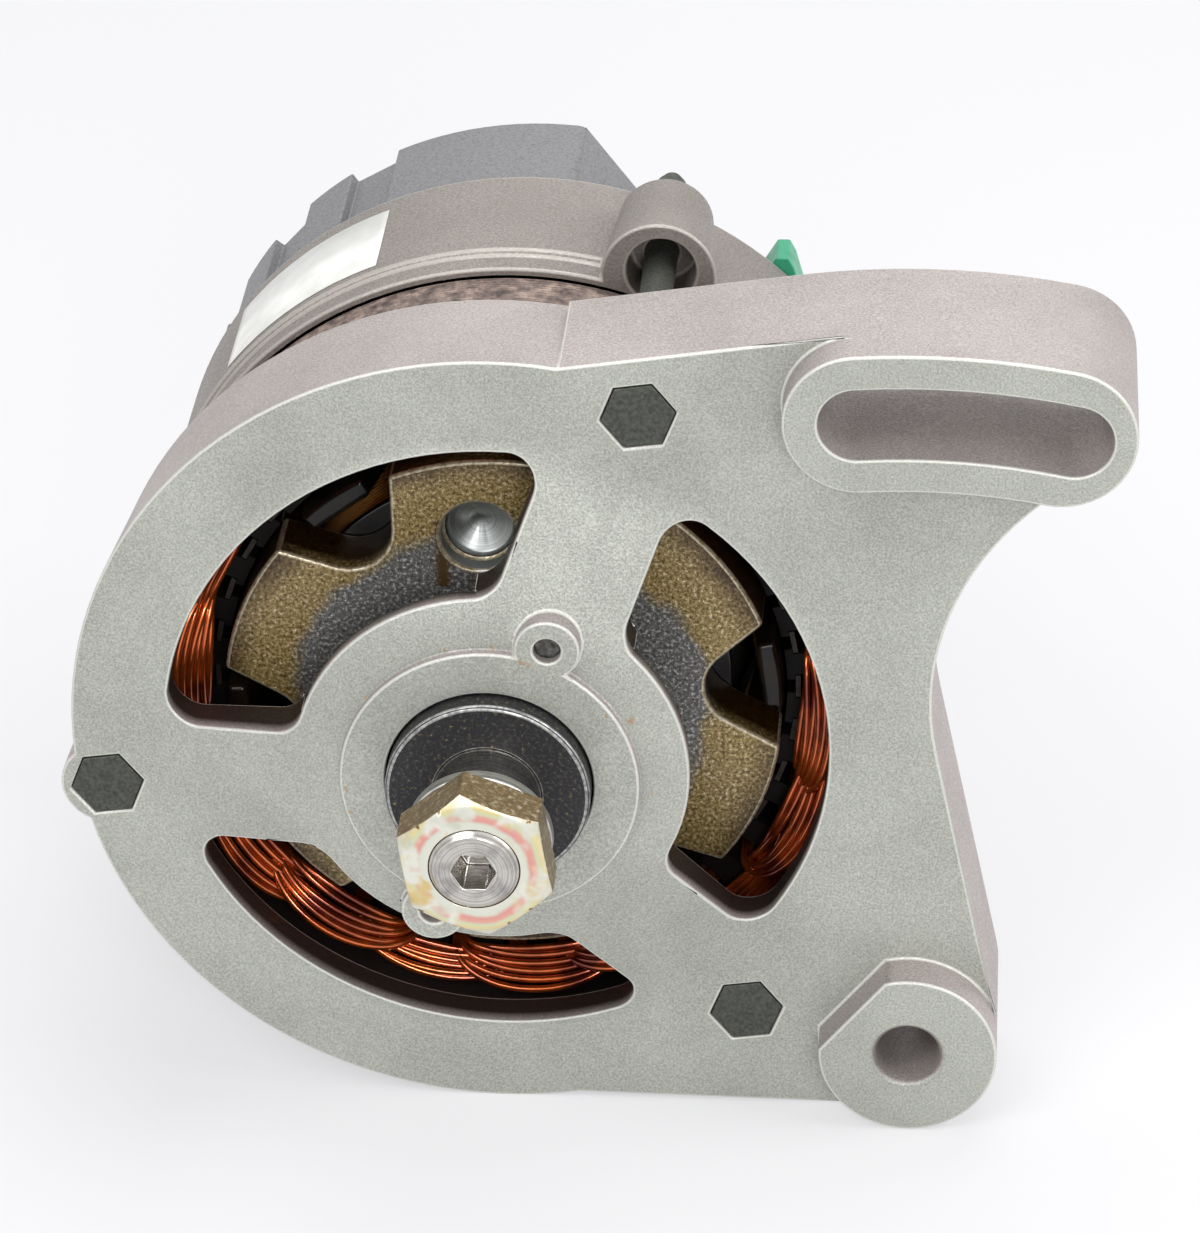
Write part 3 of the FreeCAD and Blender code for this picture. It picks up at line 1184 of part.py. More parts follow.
def make_spring_washer():
    body = new_body("spring_washer")
    ring(body, "thread_radius + fit_play", "washer_radius", f"({NECK_END}) - washer_thickness", NECK_END)
    split = cross_sketch(body, f"({NECK_END}) - washer_thickness - 1")
    polygon(split, [("-1.6", "-washer_radius - 1"), ("-0.4", "-washer_radius - 1"), ("1.6", "-thread_radius / 2"),
                    ("0.4", "-thread_radius / 2")])
    pocket(body, split, "washer_thickness + 2")
    return body


def make_hexagon_nut(label, centre, face, height, flats, bore, turn="0"):
    body = new_body(label)
    outline = cross_sketch(body, face)
    hexagon(outline, *centre, flats, turn)
    pad(body, outline, height)
    hole = cross_sketch(body, f"({face}) - 1")
    circle(hole, *centre, bore)
    pocket(body, hole, f"{height} + 2")
    return body


def make_shaft_nut():
    body = make_hexagon_nut("shaft_nut", ("0", "0"), NUT_FACE, "nut_height", "nut_flats",
                            "thread_radius + fit_play", "98.6")
    reach = "(nut_flats / 2 / cos(30))"
    rise = f"(({reach} - nut_flats / 2 + 0.6) * 0.55)"
    turned(body, [("nut_flats / 2 - 0.6", f"{NUT_FACE} - 1"), (f"{reach} + 1", f"{NUT_FACE} - 1"),
                  (f"{reach} + 1", f"{NUT_FACE} + {rise} + 0.55"), ("nut_flats / 2 - 0.6", NUT_FACE)], cut=True)
    return body


# Rectifier and terminals


def sector(sketch, inner, outer, start, end):
    """Part of a ring between two angles given in degrees."""
    low, high = size_of(inner), size_of(outer)
    first, last = size_of(start), size_of(end)

    def at(radius, angle):
        return radius * math.cos(math.radians(angle)), radius * math.sin(math.radians(angle))

    outer_arc = arc(sketch, (0, 0), high, first, last)
    inner_arc = arc(sketch, (0, 0), low, first, last)
    start_side = line(sketch, at(low, first), at(high, first))
    end_side = line(sketch, at(high, last), at(low, last))
    meet(sketch, start_side, 2, outer_arc, 1)
    meet(sketch, outer_arc, 2, end_side, 1)
    meet(sketch, end_side, 2, inner_arc, 2)
    meet(sketch, inner_arc, 1, start_side, 1)
    pin_point(sketch, outer_arc, 3, "0", "0")
    pin_point(sketch, inner_arc, 3, "0", "0")
    datum(sketch, "Radius", (outer_arc,), outer)
    datum(sketch, "Radius", (inner_arc,), inner)
    for item, radius in ((outer_arc, outer), (inner_arc, inner)):
        for point, angle in ((1, start), (2, end)):
            sideways = abs(math.sin(math.radians(size_of(angle)))) > 0.7
            x, z = place(radius, f"({angle})")
            datum(sketch, "DistanceX" if sideways else "DistanceY", (-1, 1, item, point), x if sideways else z)


def drill(body, station, depth, places, radius):
    holes = cross_sketch(body, station)
    for centre in places:
        circle(holes, *centre, radius)
    return pocket(body, holes, depth)


def tab_outline(sketch, margin):
    """Strap from the positive heat sink to the output stud."""
    polygon(sketch, [("12 - 2 * " + margin, f"36 + {margin}"), ("10 - 2 * " + margin, f"26 - {margin}"),
                     (f"stud_x + tab_width / 2 + {margin}", f"stud_z - tab_width / 2 - {margin}"),
                     (f"stud_x + tab_width / 2 + {margin}", f"stud_z + tab_width / 2 + {margin}")])


def make_positive_heat_sink():
    body = new_body("positive_heat_sink")
    plate = cross_sketch(body, POSITIVE_SINK)
    sector(plate, SINK_INNER, SINK_MIDDLE, "sink_from", "sink_to")
    pad(body, plate, "sink_thickness")
    tab = cross_sketch(body, POSITIVE_SINK)
    tab_outline(tab, "0")
    pad(body, tab, "sink_thickness")
    before = f"{POSITIVE_SINK} - 1"
    diodes = [place(DIODE_REACH, angle) for angle in POSITIVE_DIODES]
    drill(body, before, "sink_thickness + 2", diodes, "diode_radius + fit_play")
    screws = [place(DIODE_REACH, angle) for angle in POSITIVE_SCREWS]
    drill(body, before, "sink_thickness + 2", screws, "screw_radius + fit_play")
    drill(body, before, "sink_thickness + 2", [("stud_x", "stud_z")], "stud_shank_radius + fit_play")
    return body


def make_negative_heat_sink():
    body = new_body("negative_heat_sink")
    plate = cross_sketch(body, REAR_BACK)
    sector(plate, f"{SINK_MIDDLE} + sink_clearance", SINK_OUTER, "sink_from + sink_shift", "sink_to")
    pad(body, plate, "sink_thickness")
    before = f"{REAR_BACK} - 1"
    diodes = [place(DIODE_REACH_OUT, angle) for angle in NEGATIVE_DIODES]
    drill(body, before, "sink_thickness + 2", diodes, "diode_radius + fit_play")
    screw = [place(DIODE_REACH_OUT, NEGATIVE_SCREW)]
    drill(body, before, "sink_thickness + 2", screw, "screw_radius + fit_play")
    stud = [place(COVER_STUD_REACH, COVER_STUDS[0])]
    drill(body, before, "sink_thickness + 2", stud, "cover_spacer_radius + fit_play")
    return body


def make_rectifier_diodes():
    """Six round press-fit diodes with a lead each, three in each heat sink."""
    body = new_body("rectifier_diodes")
    for reach, angles, start in ((DIODE_REACH, POSITIVE_DIODES, POSITIVE_SINK),
                                 (DIODE_REACH_OUT, NEGATIVE_DIODES, REAR_BACK)):
        for angle in angles:
            can = cross_sketch(body, start)
            circle(can, *place(reach, angle), "diode_radius")
            pad(body, can, "sink_thickness + diode_height")
            lead = cross_sketch(body, f"{start} + sink_thickness + diode_height - 1")
            circle(lead, *place(reach, angle), "diode_lead_radius")
            pad(body, lead, "diode_height + 1")
    return body


def make_rectifier_insulators():
    """Bushes that hold the positive heat sink off the bracket."""
    body = new_body("rectifier_insulators")
    for angle in POSITIVE_SCREWS:
        bush = cross_sketch(body, REAR_BACK)
        circle(bush, *place(DIODE_REACH, angle), "bush_radius")
        pad(body, bush, "sink_gap")
        drill(body, f"{REAR_BACK} - 1", "sink_gap + 2", [place(DIODE_REACH, angle)], "screw_radius + fit_play")
    return body


def make_rectifier_screws():
    places = [place(DIODE_REACH, angle) for angle in POSITIVE_SCREWS]
    body = make_screws("rectifier_screws", places, f"({POSITIVE_SINK} + sink_thickness)",
                       f"({REAR_BACK} - rear_wall)", "screw_radius", "screw_head_radius", "screw_head_height")
    lone = place(DIODE_REACH_OUT, NEGATIVE_SCREW)
    stem = cross_sketch(body, f"{REAR_BACK} - rear_wall")
    circle(stem, *lone, "screw_radius")
    pad(body, stem, "rear_wall + sink_thickness + 0.2")
    cap = cross_sketch(body, f"{REAR_BACK} + sink_thickness")
    circle(cap, *lone, "screw_head_radius")
    pad(body, cap, "screw_head_height", "-12")
    return body


def make_output_stud():
    """Stud whose free end, beyond its nut, is thinner than the shank."""
    body = new_body("output_stud")
    start = f"({REAR_BACK} + stud_setback)"
    shank = cross_sketch(body, start)
    circle(shank, "stud_x", "stud_z", "stud_shank_radius")
    pad(body, shank, f"{STUD_SHANK_END} - {start}")
    stem = cross_sketch(body, STUD_SHANK_END)
    circle(stem, "stud_x", "stud_z", "stud_radius")
    pad(body, stem, f"{start} + stud_length - 1 - {STUD_SHANK_END}")
    tip = cross_sketch(body, f"{start} + stud_length - 1")
    circle(tip, "stud_x", "stud_z", "stud_radius")
    pad(body, tip, "1", "-40")
    return body


def make_stud_insulator():
    """Insulating plate under the strap, with a raised tongue out to the casting's shoulder."""
    body = new_body("stud_insulator")
    plate = cross_sketch(body, REAR_BACK)
    polygon(plate, [("stud_x - 5.4", "stud_z - 6"), ("stud_x + 6", "stud_z - 6"), ("cap_x + 1", "cap_z - 2"),
                    ("cap_x", "cap_z"), ("cap_x - 2", "cap_z"), ("cap_x - 7", "cap_z - 8"),
                    ("stud_x - 5.4", "stud_z + 5")])
    pad(body, plate, "sink_gap")
    tongue = cross_sketch(body, REAR_BACK)
    polygon(tongue, [("cap_x + 2.6", "cap_z - 8"), ("cap_x + 1", "cap_z - 2"), ("cap_x", "cap_z"),
                     ("cap_x - 2", "cap_z"), ("cap_x - 7", "cap_z - 8")])
    pad(body, tongue, "cap_depth")
    drill(body, f"{REAR_BACK} + stud_setback", "cap_depth", [("stud_x", "stud_z")], "stud_shank_radius + fit_play")
    return body


def make_terminal_block():
    body = new_body("terminal_block")
    outline, depth = block(body, ("blade_x - terminal_width / 2", REAR_BACK, "blade_z - terminal_height / 2"),
                           ("blade_x + terminal_width / 2", f"{REAR_BACK} + terminal_depth",
                            "blade_z + terminal_height / 2"))
    pad(body, outline, depth)
    slot, length = block(body, ("blade_x - blade_thickness / 2 - fit_play", f"{REAR_BACK} + terminal_depth / 2",
                                "blade_z - blade_width / 2 - fit_play"),
                         ("blade_x + blade_thickness / 2 + fit_play", f"{REAR_BACK} + terminal_depth + 1",
                          "blade_z + blade_width / 2 + fit_play"))
    pocket(body, slot, length)
    return body


def make_excitation_terminal():
    """Flat blade terminal with a hole near its end."""
    body = new_body("excitation_terminal")
    start = f"({REAR_BACK} + terminal_depth / 2)"
    outline, depth = block(body, ("blade_x - blade_thickness / 2", start, "blade_z - blade_width / 2"),
                           ("blade_x + blade_thickness / 2", f"{start} + blade_length", "blade_z + blade_width / 2"))
    pad(body, outline, depth)
    hole = plane_sketch(body, "YZ_Plane", "blade_x + blade_thickness")
    circle(hole, f"{start} + blade_length - 3.4", "blade_z", "0.9")
    cut = body.newObject("PartDesign::Pocket", "hole")
    cut.Profile = hole
    bind(cut, "Length", "2 * blade_thickness")
    return body


# Brush gear


def make_brush_holder():
    """Box with a well for each brush, on a foot that is screwed to the rear bracket."""
    body = new_body("brush_holder")
    half_x = "(brush_width / 2 + brush_play + holder_wall)"
    half_y = "(brush_thickness / 2 + brush_play + holder_wall)"
    outline, depth = block(body, (f"-{half_x}", f"{FRONT_RING_MIDDLE} - {half_y}", f"-{HOLDER_REACH}"),
                           (half_x, f"{REAR_RING_MIDDLE} + {half_y}", "-(slip_ring_radius + holder_gap)"))
    pad(body, outline, depth)
    foot, thickness = block(body, ("-regulator_width / 2", REAR_BACK, f"-({HOLDER_REACH} + regulator_height)"),
                            ("regulator_width / 2", f"{REAR_BACK} + holder_foot", f"3 - {HOLDER_REACH}"))
    pad(body, foot, thickness)
    for middle in (FRONT_RING_MIDDLE, REAR_RING_MIDDLE):
        well = plane_sketch(body, "XY_Plane", "-(slip_ring_radius + holder_gap) + 1")
        x = "(brush_width / 2 + brush_play)"
        y = "(brush_thickness / 2 + brush_play)"
        polygon(well, [(f"-{x}", f"{middle} - {y}"), (x, f"{middle} - {y}"),
                       (x, f"{middle} + {y}"), (f"-{x}", f"{middle} + {y}")])
        cut = body.newObject("PartDesign::Pocket", "well")
        cut.Profile = well
        bind(cut, "Length", f"{WELL_BOTTOM} - slip_ring_radius - holder_gap + 1")
    for side in ("-", ""):
        drill(body, f"{REAR_BACK} - 1", "holder_foot + 2", [(f"{side}regulator_screw_x", f"-{REGULATOR_SCREW_Z}")],
              "screw_radius + fit_play")
    return body


def make_brush(end, middle):
    """Carbon block with a hollow face that fits the slip ring."""
    body = new_body(f"{end}_brush")
    outline, depth = block(body, ("-brush_width / 2", f"{middle} - brush_thickness / 2",
                                  f"-({BRUSH_TOP} + {BRUSH_LENGTH})"),
                           ("brush_width / 2", f"{middle} + brush_thickness / 2", f"-({BRUSH_TOP} - 0.46)"))
    pad(body, outline, depth)
    ring(body, "0", BRUSH_TOP, f"{middle} - brush_thickness", f"{middle} + brush_thickness", cut=True)
    return body


def make_brush_spring(end, middle):
    """Coil spring between the bottom of the well and the brush."""
    body = new_body(f"{end}_brush_spring")
    profile = plane_sketch(body, "XZ_Plane")
    circle(profile, "spring_radius", "0", "spring_wire")
    coil = body.newObject("PartDesign::AdditiveHelix", "coil")
    coil.Profile = profile
    coil.ReferenceAxis = (profile, ["V_Axis"])
    coil.Mode = "height-turns-angle"
    length = f"({WELL_BOTTOM} - {BRUSH_TOP} - {BRUSH_LENGTH})"
    bind(coil, "Turns", "spring_turns")
    bind(coil, "Height", f"{length} - 2 * spring_wire")
    bind(body, ".Placement.Base.y", middle)
    bind(body, ".Placement.Base.z", f"spring_wire - {WELL_BOTTOM}")
    return body


def make_voltage_regulator():
    """Finned block on the brush holder's foot."""
    body = new_body("voltage_regulator")
    start = f"({REAR_BACK} + holder_foot)"
    low = f"-({HOLDER_REACH} + regulator_height)"
    outline, depth = block(body, ("-regulator_width / 2", start, low),
                           ("regulator_width / 2", f"{start} + regulator_thickness", f"-({HOLDER_REACH} + 0.5)"))
    pad(body, outline, depth)
    for number in range(4):
        left = f"(-regulator_width / 2 + {4.6 + 7.2 * number})"
        fin, length = block(body, (left, f"{start} + regulator_thickness / 2", f"{low} - 1"),
                            (f"{left} + 3.2", f"{start} + regulator_thickness + 1", f"-({HOLDER_REACH} + 5)"))
        pocket(body, fin, length)
    places = [(f"{side}regulator_screw_x", f"-{REGULATOR_SCREW_Z}") for side in ("-", "")]
    drill(body, f"{start} - 1", "regulator_thickness + 2", places, "screw_radius + fit_play")
    drill(body, f"{start} + 4", "regulator_thickness", places, "screw_head_radius + 0.4")
    return body


def make_regulator_screws():
    places = [(f"{side}regulator_screw_x", f"-{REGULATOR_SCREW_Z}") for side in ("-", "")]
    return make_screws("regulator_screws", places, f"({REAR_BACK} + holder_foot + 4)",
                       f"({REAR_BACK} - rear_wall)", "screw_radius", "screw_head_radius", "screw_head_height")


# Rear cover


def chord_outline(sketch, radius, chord):
    """A circle cut off by one straight side."""
    size, distance = size_of(radius), size_of(chord)
    facing = size_of("cover_chord_angle")
    half = math.degrees(math.acos(distance / size))
    round_side = arc(sketch, (0, 0), size, facing + half, facing - half + 360)
    ends = [(size * math.cos(math.radians(facing + turn)), size * math.sin(math.radians(facing + turn)))
            for turn in (-half, half)]
    flat = line(sketch, *ends)
    meet(sketch, round_side, 2, flat, 1)
    meet(sketch, flat, 2, round_side, 1)
    pin_point(sketch, round_side, 3, "0", "0")
    datum(sketch, "Radius", (round_side,), radius)
    lean = f"acos(({chord}) / ({radius})) / 1 deg"
    low = f"({radius}) * sin(cover_chord_angle - {lean})"
    high = f"({radius}) * cos(cover_chord_angle + {lean})"
    datum(sketch, "DistanceY", (-1, 1, flat, 1), low)
    datum(sketch, "DistanceX", (-1, 1, flat, 2), high)


def make_rear_cover():
    """Cup over the rectifier and the brushes, with flutes round its left side and one straight side."""
    body = new_body("rear_cover")
    outside = cross_sketch(body, REAR_BACK)
    chord_outline(outside, "cover_radius", "cover_chord")
    pad(body, outside, "cover_height")
    inside = cross_sketch(body, f"{REAR_BACK} - 1")
    chord_outline(inside, "cover_radius - cover_step - cover_wall", "cover_chord - cover_wall")
    pocket(body, inside, "cover_height - cover_wall + 1")
    for number in range(8):
        middle = f"(cover_flute_start + {number} * cover_flute_pitch)"
        flute = cross_sketch(body, f"{REAR_BACK} - 1")
        corners = []
        for reach, side in (("(cover_radius - cover_step)", "-"), ("(cover_radius + 2)", "-"),
                            ("(cover_radius + 2)", "+"), ("(cover_radius - cover_step)", "+")):
            corners.append(place(reach, f"({middle} {side} cover_flute_half_angle)"))
        polygon(flute, corners)
        pocket(body, flute, "cover_height + 2")
    strap = cross_sketch(body, f"{REAR_BACK} - 1")
    tab_outline(strap, "1")
    pocket(body, strap, "sink_gap + sink_thickness + 2")
    vents = cross_sketch(body, f"{COVER_END} - 1")
    for number in range(6):
        x = f"({-26.5 + 8 * number})"
        reach = 26 - abs(number - 2.5) * 3
        polygon(vents, [(x, "17"), (f"{x} + cover_vent_width", "17"), (f"{x} + cover_vent_width", f"{reach + 6}"),
                        (x, f"{reach + 6}")])
    pocket(body, vents, "cover_wall + 2")
    studs = [place(COVER_STUD_REACH, angle) for angle in COVER_STUDS]
    drill(body, f"{COVER_END} - 1", "cover_wall + 2", studs, "cover_stud_radius + fit_play")
    soften(body, "1.2", lambda edge: abs(edge.BoundBox.YMin - size_of(COVER_BACK)) < 0.01
           and edge.Length > 60)
    return body


def make_cover_studs():
    """Spacer studs that carry the cover's end wall."""
    body = new_body("cover_studs")
    for angle in COVER_STUDS:
        centre = place(COVER_STUD_REACH, angle)
        root = cross_sketch(body, f"{REAR_BACK} - rear_wall")
        circle(root, *centre, "cover_stud_radius")
        pad(body, root, "rear_wall + cover_height + cover_stud_reach")
        spacer = cross_sketch(body, REAR_BACK)
        circle(spacer, *centre, "cover_spacer_radius")
        pad(body, spacer, "cover_height - cover_wall")
    return body


def make_cover_nuts():
    body = new_body("cover_nuts")
    for angle in COVER_STUDS:
        centre = place(COVER_STUD_REACH, angle)
        outline = cross_sketch(body, COVER_BACK)
        hexagon(outline, *centre, "cover_nut_flats", angle)
        pad(body, outline, "cover_nut_height")
        drill(body, f"{COVER_BACK} - 1", "cover_nut_height + 2", [centre], "cover_stud_radius + fit_play")
    return body


BUILDERS = [
    make_drive_end_bracket,
    make_rear_bracket,
    make_stator_core,
    make_stator_winding,
    make_slot_wedges,
    lambda: make_bearing_ring("front", "outer"),
    lambda: make_bearing_ring("front", "inner"),
    lambda: make_balls("front"),
    lambda: make_cage("front"),
    lambda: make_bearing_ring("rear", "outer"),
    lambda: make_bearing_ring("rear", "inner"),
    lambda: make_balls("rear"),
    lambda: make_cage("rear"),
    make_bearing_sleeve,
    make_retainer_plate,
    make_retainer_screws,
    make_through_bolts,
    make_rotor_shaft,
    lambda: make_claw_pole("front"),
    lambda: make_claw_pole("rear"),
    make_field_core,
    make_coil_bobbin,
    make_field_coil,
    make_slip_ring_carrier,
    lambda: make_slip_ring("front", FRONT_RING),
    lambda: make_slip_ring("rear", REAR_RING),
    make_pulley_spacer,
    make_spring_washer,
    make_shaft_nut,
    make_positive_heat_sink,
    make_negative_heat_sink,
    make_rectifier_diodes,
    make_rectifier_insulators,
    make_rectifier_screws,
    make_output_stud,
    lambda: make_hexagon_nut("output_nut", ("stud_x", "stud_z"), f"{POSITIVE_SINK} + sink_thickness",
                             "stud_nut_height", "stud_nut_flats", "stud_shank_radius + fit_play", "10"),
    make_stud_insulator,
    make_terminal_block,
    make_excitation_terminal,
    make_brush_holder,
    lambda: make_brush("front", FRONT_RING_MIDDLE),
    lambda: make_brush("rear", REAR_RING_MIDDLE),
    lambda: make_brush_spring("front", FRONT_RING_MIDDLE),
    lambda: make_brush_spring("rear", REAR_RING_MIDDLE),
    make_voltage_regulator,
    make_regulator_screws,
    make_rear_cover,
    make_cover_studs,
    make_cover_nuts,
]


def check(label, body):
    """Stops if a feature failed, a cut removed nothing or the solid isn't sound."""
    for item in [body] + list(body.Group):
        if "Invalid" in item.State or "Error" in item.State:
            raise RuntimeError(f"{label}: {item.Name} {item.TypeId} is {item.State}")
        if item.TypeId in ("PartDesign::Pocket", "PartDesign::Groove"):
            if item.Shape.Volume >= item.BaseFeature.Shape.Volume - 0.001:
                raise RuntimeError(f"{label}: {item.Name} cuts nothing")
    if body.Shape.isNull() or not body.Shape.isValid() or not body.Shape.Solids:
        raise RuntimeError(f"{label}: no sound solid")


bodies = [build() for build in BUILDERS]
doc.recompute()
os.makedirs("parts", exist_ok=True)
for body in bodies:
    check(body.Label, body)
for body in bodies:
    body.Shape.exportStep(f"parts/{body.Label}.step")
    print(body.Label, len(body.Shape.Solids), round(body.Shape.Volume, 1))
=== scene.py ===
import math
import random
from functools import partial

import bpy
from mathutils import Matrix, Vector


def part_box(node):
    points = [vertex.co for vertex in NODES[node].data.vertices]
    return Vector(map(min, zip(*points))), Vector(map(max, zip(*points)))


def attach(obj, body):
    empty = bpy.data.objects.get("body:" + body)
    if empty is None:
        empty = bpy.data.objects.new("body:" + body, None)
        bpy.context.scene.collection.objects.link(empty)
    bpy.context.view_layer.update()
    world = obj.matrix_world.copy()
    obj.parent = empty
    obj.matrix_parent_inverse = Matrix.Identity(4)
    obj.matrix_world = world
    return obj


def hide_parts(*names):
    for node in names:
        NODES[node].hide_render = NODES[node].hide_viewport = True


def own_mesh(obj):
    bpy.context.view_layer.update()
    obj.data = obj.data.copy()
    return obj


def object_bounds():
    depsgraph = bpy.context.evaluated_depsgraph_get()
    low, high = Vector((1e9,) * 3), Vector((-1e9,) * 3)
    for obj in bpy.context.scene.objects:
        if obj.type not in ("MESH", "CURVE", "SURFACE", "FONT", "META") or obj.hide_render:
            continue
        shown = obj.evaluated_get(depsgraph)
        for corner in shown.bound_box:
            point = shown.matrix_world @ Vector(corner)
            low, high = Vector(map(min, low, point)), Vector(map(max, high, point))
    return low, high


bl_info = {
    "name": "Alternator with a slotted ear",
    "version": (1, 0, 0),
    "blender": (4, 5, 0),
    "location": "View3D > Sidebar > Alternator",
    "description": "Finishes, windings and small fittings around the alternator's solids",
    "category": "Object",
}

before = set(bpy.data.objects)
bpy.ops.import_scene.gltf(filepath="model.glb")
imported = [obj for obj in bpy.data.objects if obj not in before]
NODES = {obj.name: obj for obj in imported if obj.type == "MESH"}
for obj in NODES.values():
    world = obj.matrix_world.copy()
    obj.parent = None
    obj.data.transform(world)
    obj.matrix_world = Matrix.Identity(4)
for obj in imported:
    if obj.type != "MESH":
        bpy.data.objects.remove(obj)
CAD_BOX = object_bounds()
MM = 0.001

# Stations along the shaft and the field coil's radius in millimetres, read from the solids.
STACK_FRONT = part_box("stator_core")[0].y / MM
STACK_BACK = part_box("stator_core")[1].y / MM
RIM_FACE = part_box("through_bolts")[0].y / MM
REAR_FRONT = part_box("rear_bracket")[0].y / MM
POLE_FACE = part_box("front_claw_pole")[0].y / MM
FIELD_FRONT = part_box("field_coil")[0].y / MM
FIELD_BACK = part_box("field_coil")[1].y / MM
FIELD_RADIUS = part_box("field_coil")[1].x / MM

# The through bolts' distance from the shaft in millimetres, and the first one's angle in degrees.
BOLT_CIRCLE = 63.12
BOLT_ANGLE = 68.26

# The front casting in millimetres: its hub's groove, the cone that its arms' fronts lie on, with the height
# from the rim's face to the cone's small end, and the ring that the windows lie in.
GROOVE_RADIUS = 24.5
CONE_START = 25.0
CONE_END = 54.5
CONE_RISE = 10.4
WINDOW_RADIUS = 41.5
WINDOW_HALF = 16.0

# The stack's bare edge starts here; what lies further in is under varnish. In millimetres.
STACK_BARE = (57.2, 57.6)

# The balance hole that is drilled into the front pole: its place and radius in millimetres.
BALANCE_HOLE = Vector((-2.88, POLE_FACE, 31.07))
BALANCE_RADIUS = 6.05

# The stator's coils: their number, the wires of each, the degrees between its two slots, which are three
# pitches apart, and the degrees that its wires fan over at a slot.
COILS = 18
WIRES = 6
COIL_SPAN = 30.0
LEG_FAN = 2.8
# Millimetres between the slot's middle and each of its two layers of wire.
LAYER = 0.66
# Share of a coil's distance outwards that its legs keep, and how blunt its arch is: 1 is half a sine wave.
LEG_SHARE = 0.55
ARCH_BLUNT = 0.85
ARCH_STEPS = 28
# The three phases were wound in one after the other: the first lies deepest and furthest out. For each, its
# distance outwards and its fan's width in millimetres, and its lowest and highest wire's share of the height.
PHASES = (
    {"out": 3.6, "fan": 3.6, "low": 0.30, "high": 0.70},
    {"out": 1.3, "fan": 5.2, "low": 0.42, "high": 0.94},
    {"out": 0.0, "fan": 4.8, "low": 0.50, "high": 1.0},
)

# How far the ring of field wire reaches in from the coil's outside, in millimetres, and the points over the
# round of each wire.
FIELD_DEPTH = 9
FIELD_STEPS = 6

# A brush spring: its wire in millimetres, its turns, how many of them lie flat at each end, the steps of each
# turn and the sides of its wire.
SPRING_WIRE = 0.45
SPRING_TURNS = 7
SPRING_FLAT = 0.9
SPRING_STEPS = 24
SPRING_SIDES = 8

# The blank label on the rear casting: its radius and its edges along the shaft in millimetres, the angles in
# degrees that it starts at and covers, and its thickness in millimetres.
LABEL_RADIUS = 60.95
LABEL_EDGES = (70.0, 90.5)
LABEL_START = 112.0
LABEL_SWEEP = 30.0
LABEL_THICK = 0.1

# The bolts' sealing rings in millimetres: how far behind the rear casting's front edge, and their two radii.
SEAL_DEPTH = 21.2
SEAL_RADIUS = 3.15
SEAL_THICK = 0.45

# Each lamp's name, place in metres, width in metres and watts, and the point that all of them face.
LAMPS = (
    ("key", (-0.55, -0.75, 1.05), 0.7, 8.0),
    ("front", (0.28, -1.05, 0.55), 0.3, 4.5),
    ("side", (1.15, -0.10, 0.75), 0.8, 9.0),
    ("top", (0.10, 0.45, 1.25), 0.9, 9.0),
)
LIT_POINT = Vector((0.0, 0.04, 0.0))
# Half the floor's width in metres.
FLOOR_HALF = 4.0

# The photograph's camera, fitted to the bolt heads, bores, slot and shaft: its lens and place in millimetres,
# and the directions of the picture's right edge, its lower edge and the view.
CAMERA_LENS = 151.82
CAMERA_PLACE = Vector((77.45, -678.41, 427.55))
CAMERA_RIGHT = Vector((0.99697, 0.07489, -0.02085))
CAMERA_DOWN = Vector((0.01961, -0.50184, -0.86474))
CAMERA_AHEAD = Vector((-0.07522, 0.86171, -0.50179))


def linear(code):
    """Turns an sRGB hex value into linear red, green, blue and alpha; a panel's colour is linear already."""
    if not isinstance(code, str):
        return tuple(code)
    parts = [int(code[place:place + 2], 16) / 255 for place in (1, 3, 5)]
    return tuple(p / 12.92 if p <= 0.04045 else ((p + 0.055) / 1.055) ** 2.4 for p in parts) + (1.0,)


def join(node, links):
    """Sets a node's sockets. A value is a constant, an output, or a node for its first output in use."""
    for socket, value in links.items():
        if isinstance(value, bpy.types.Node):
            value = next(output for output in value.outputs if output.enabled)
        if isinstance(value, bpy.types.NodeSocket):
            node.id_data.links.new(value, node.inputs[socket])
        else:
            node.inputs[socket].default_value = value


def add(tree, kind, links=None, stops=(), **settings):
    """Adds a node with its settings and links. Stops are a ramp's positions and colours; a number is grey."""
    node = tree.nodes.new(kind)
    for name, value in settings.items():
        setattr(node, name, value)
    join(node, links or {})
    for number, (position, tone) in enumerate(stops):
        if number > 1:
            node.color_ramp.elements.new(1.0)
        element = node.color_ramp.elements[number]
        element.position = position
        element.color = tone if isinstance(tone, tuple) else (tone, tone, tone, 1.0)
    return node


def per_metre(size_mm):
    """Texture scale whose cells measure that many millimetres."""
    return 1000 / size_mm


def new_material(name):
    """A material, the function that adds its nodes, the point on the piece in the piece's own frame in
    metres, and the surface that join() finishes."""
    material = bpy.data.materials.new(name)
    material.use_nodes = True
    material.node_tree.nodes.clear()
    node = partial(add, material.node_tree)
    surface = node("ShaderNodeBsdfPrincipled")
    node("ShaderNodeOutputMaterial", {"Surface": surface})
    return material, node, node("ShaderNodeTexCoord").outputs["Object"], surface


def off_line(node, at):
    """How far a point lies from the line along Y through the origin, and its place along that line."""
    parts = node("ShaderNodeSeparateXYZ", {"Vector": at})
    flat = node("ShaderNodeCombineXYZ", {"X": parts.outputs["X"], "Y": parts.outputs["Z"]})
    return node("ShaderNodeVectorMath", {0: flat}, operation="LENGTH"), parts.outputs["Y"]


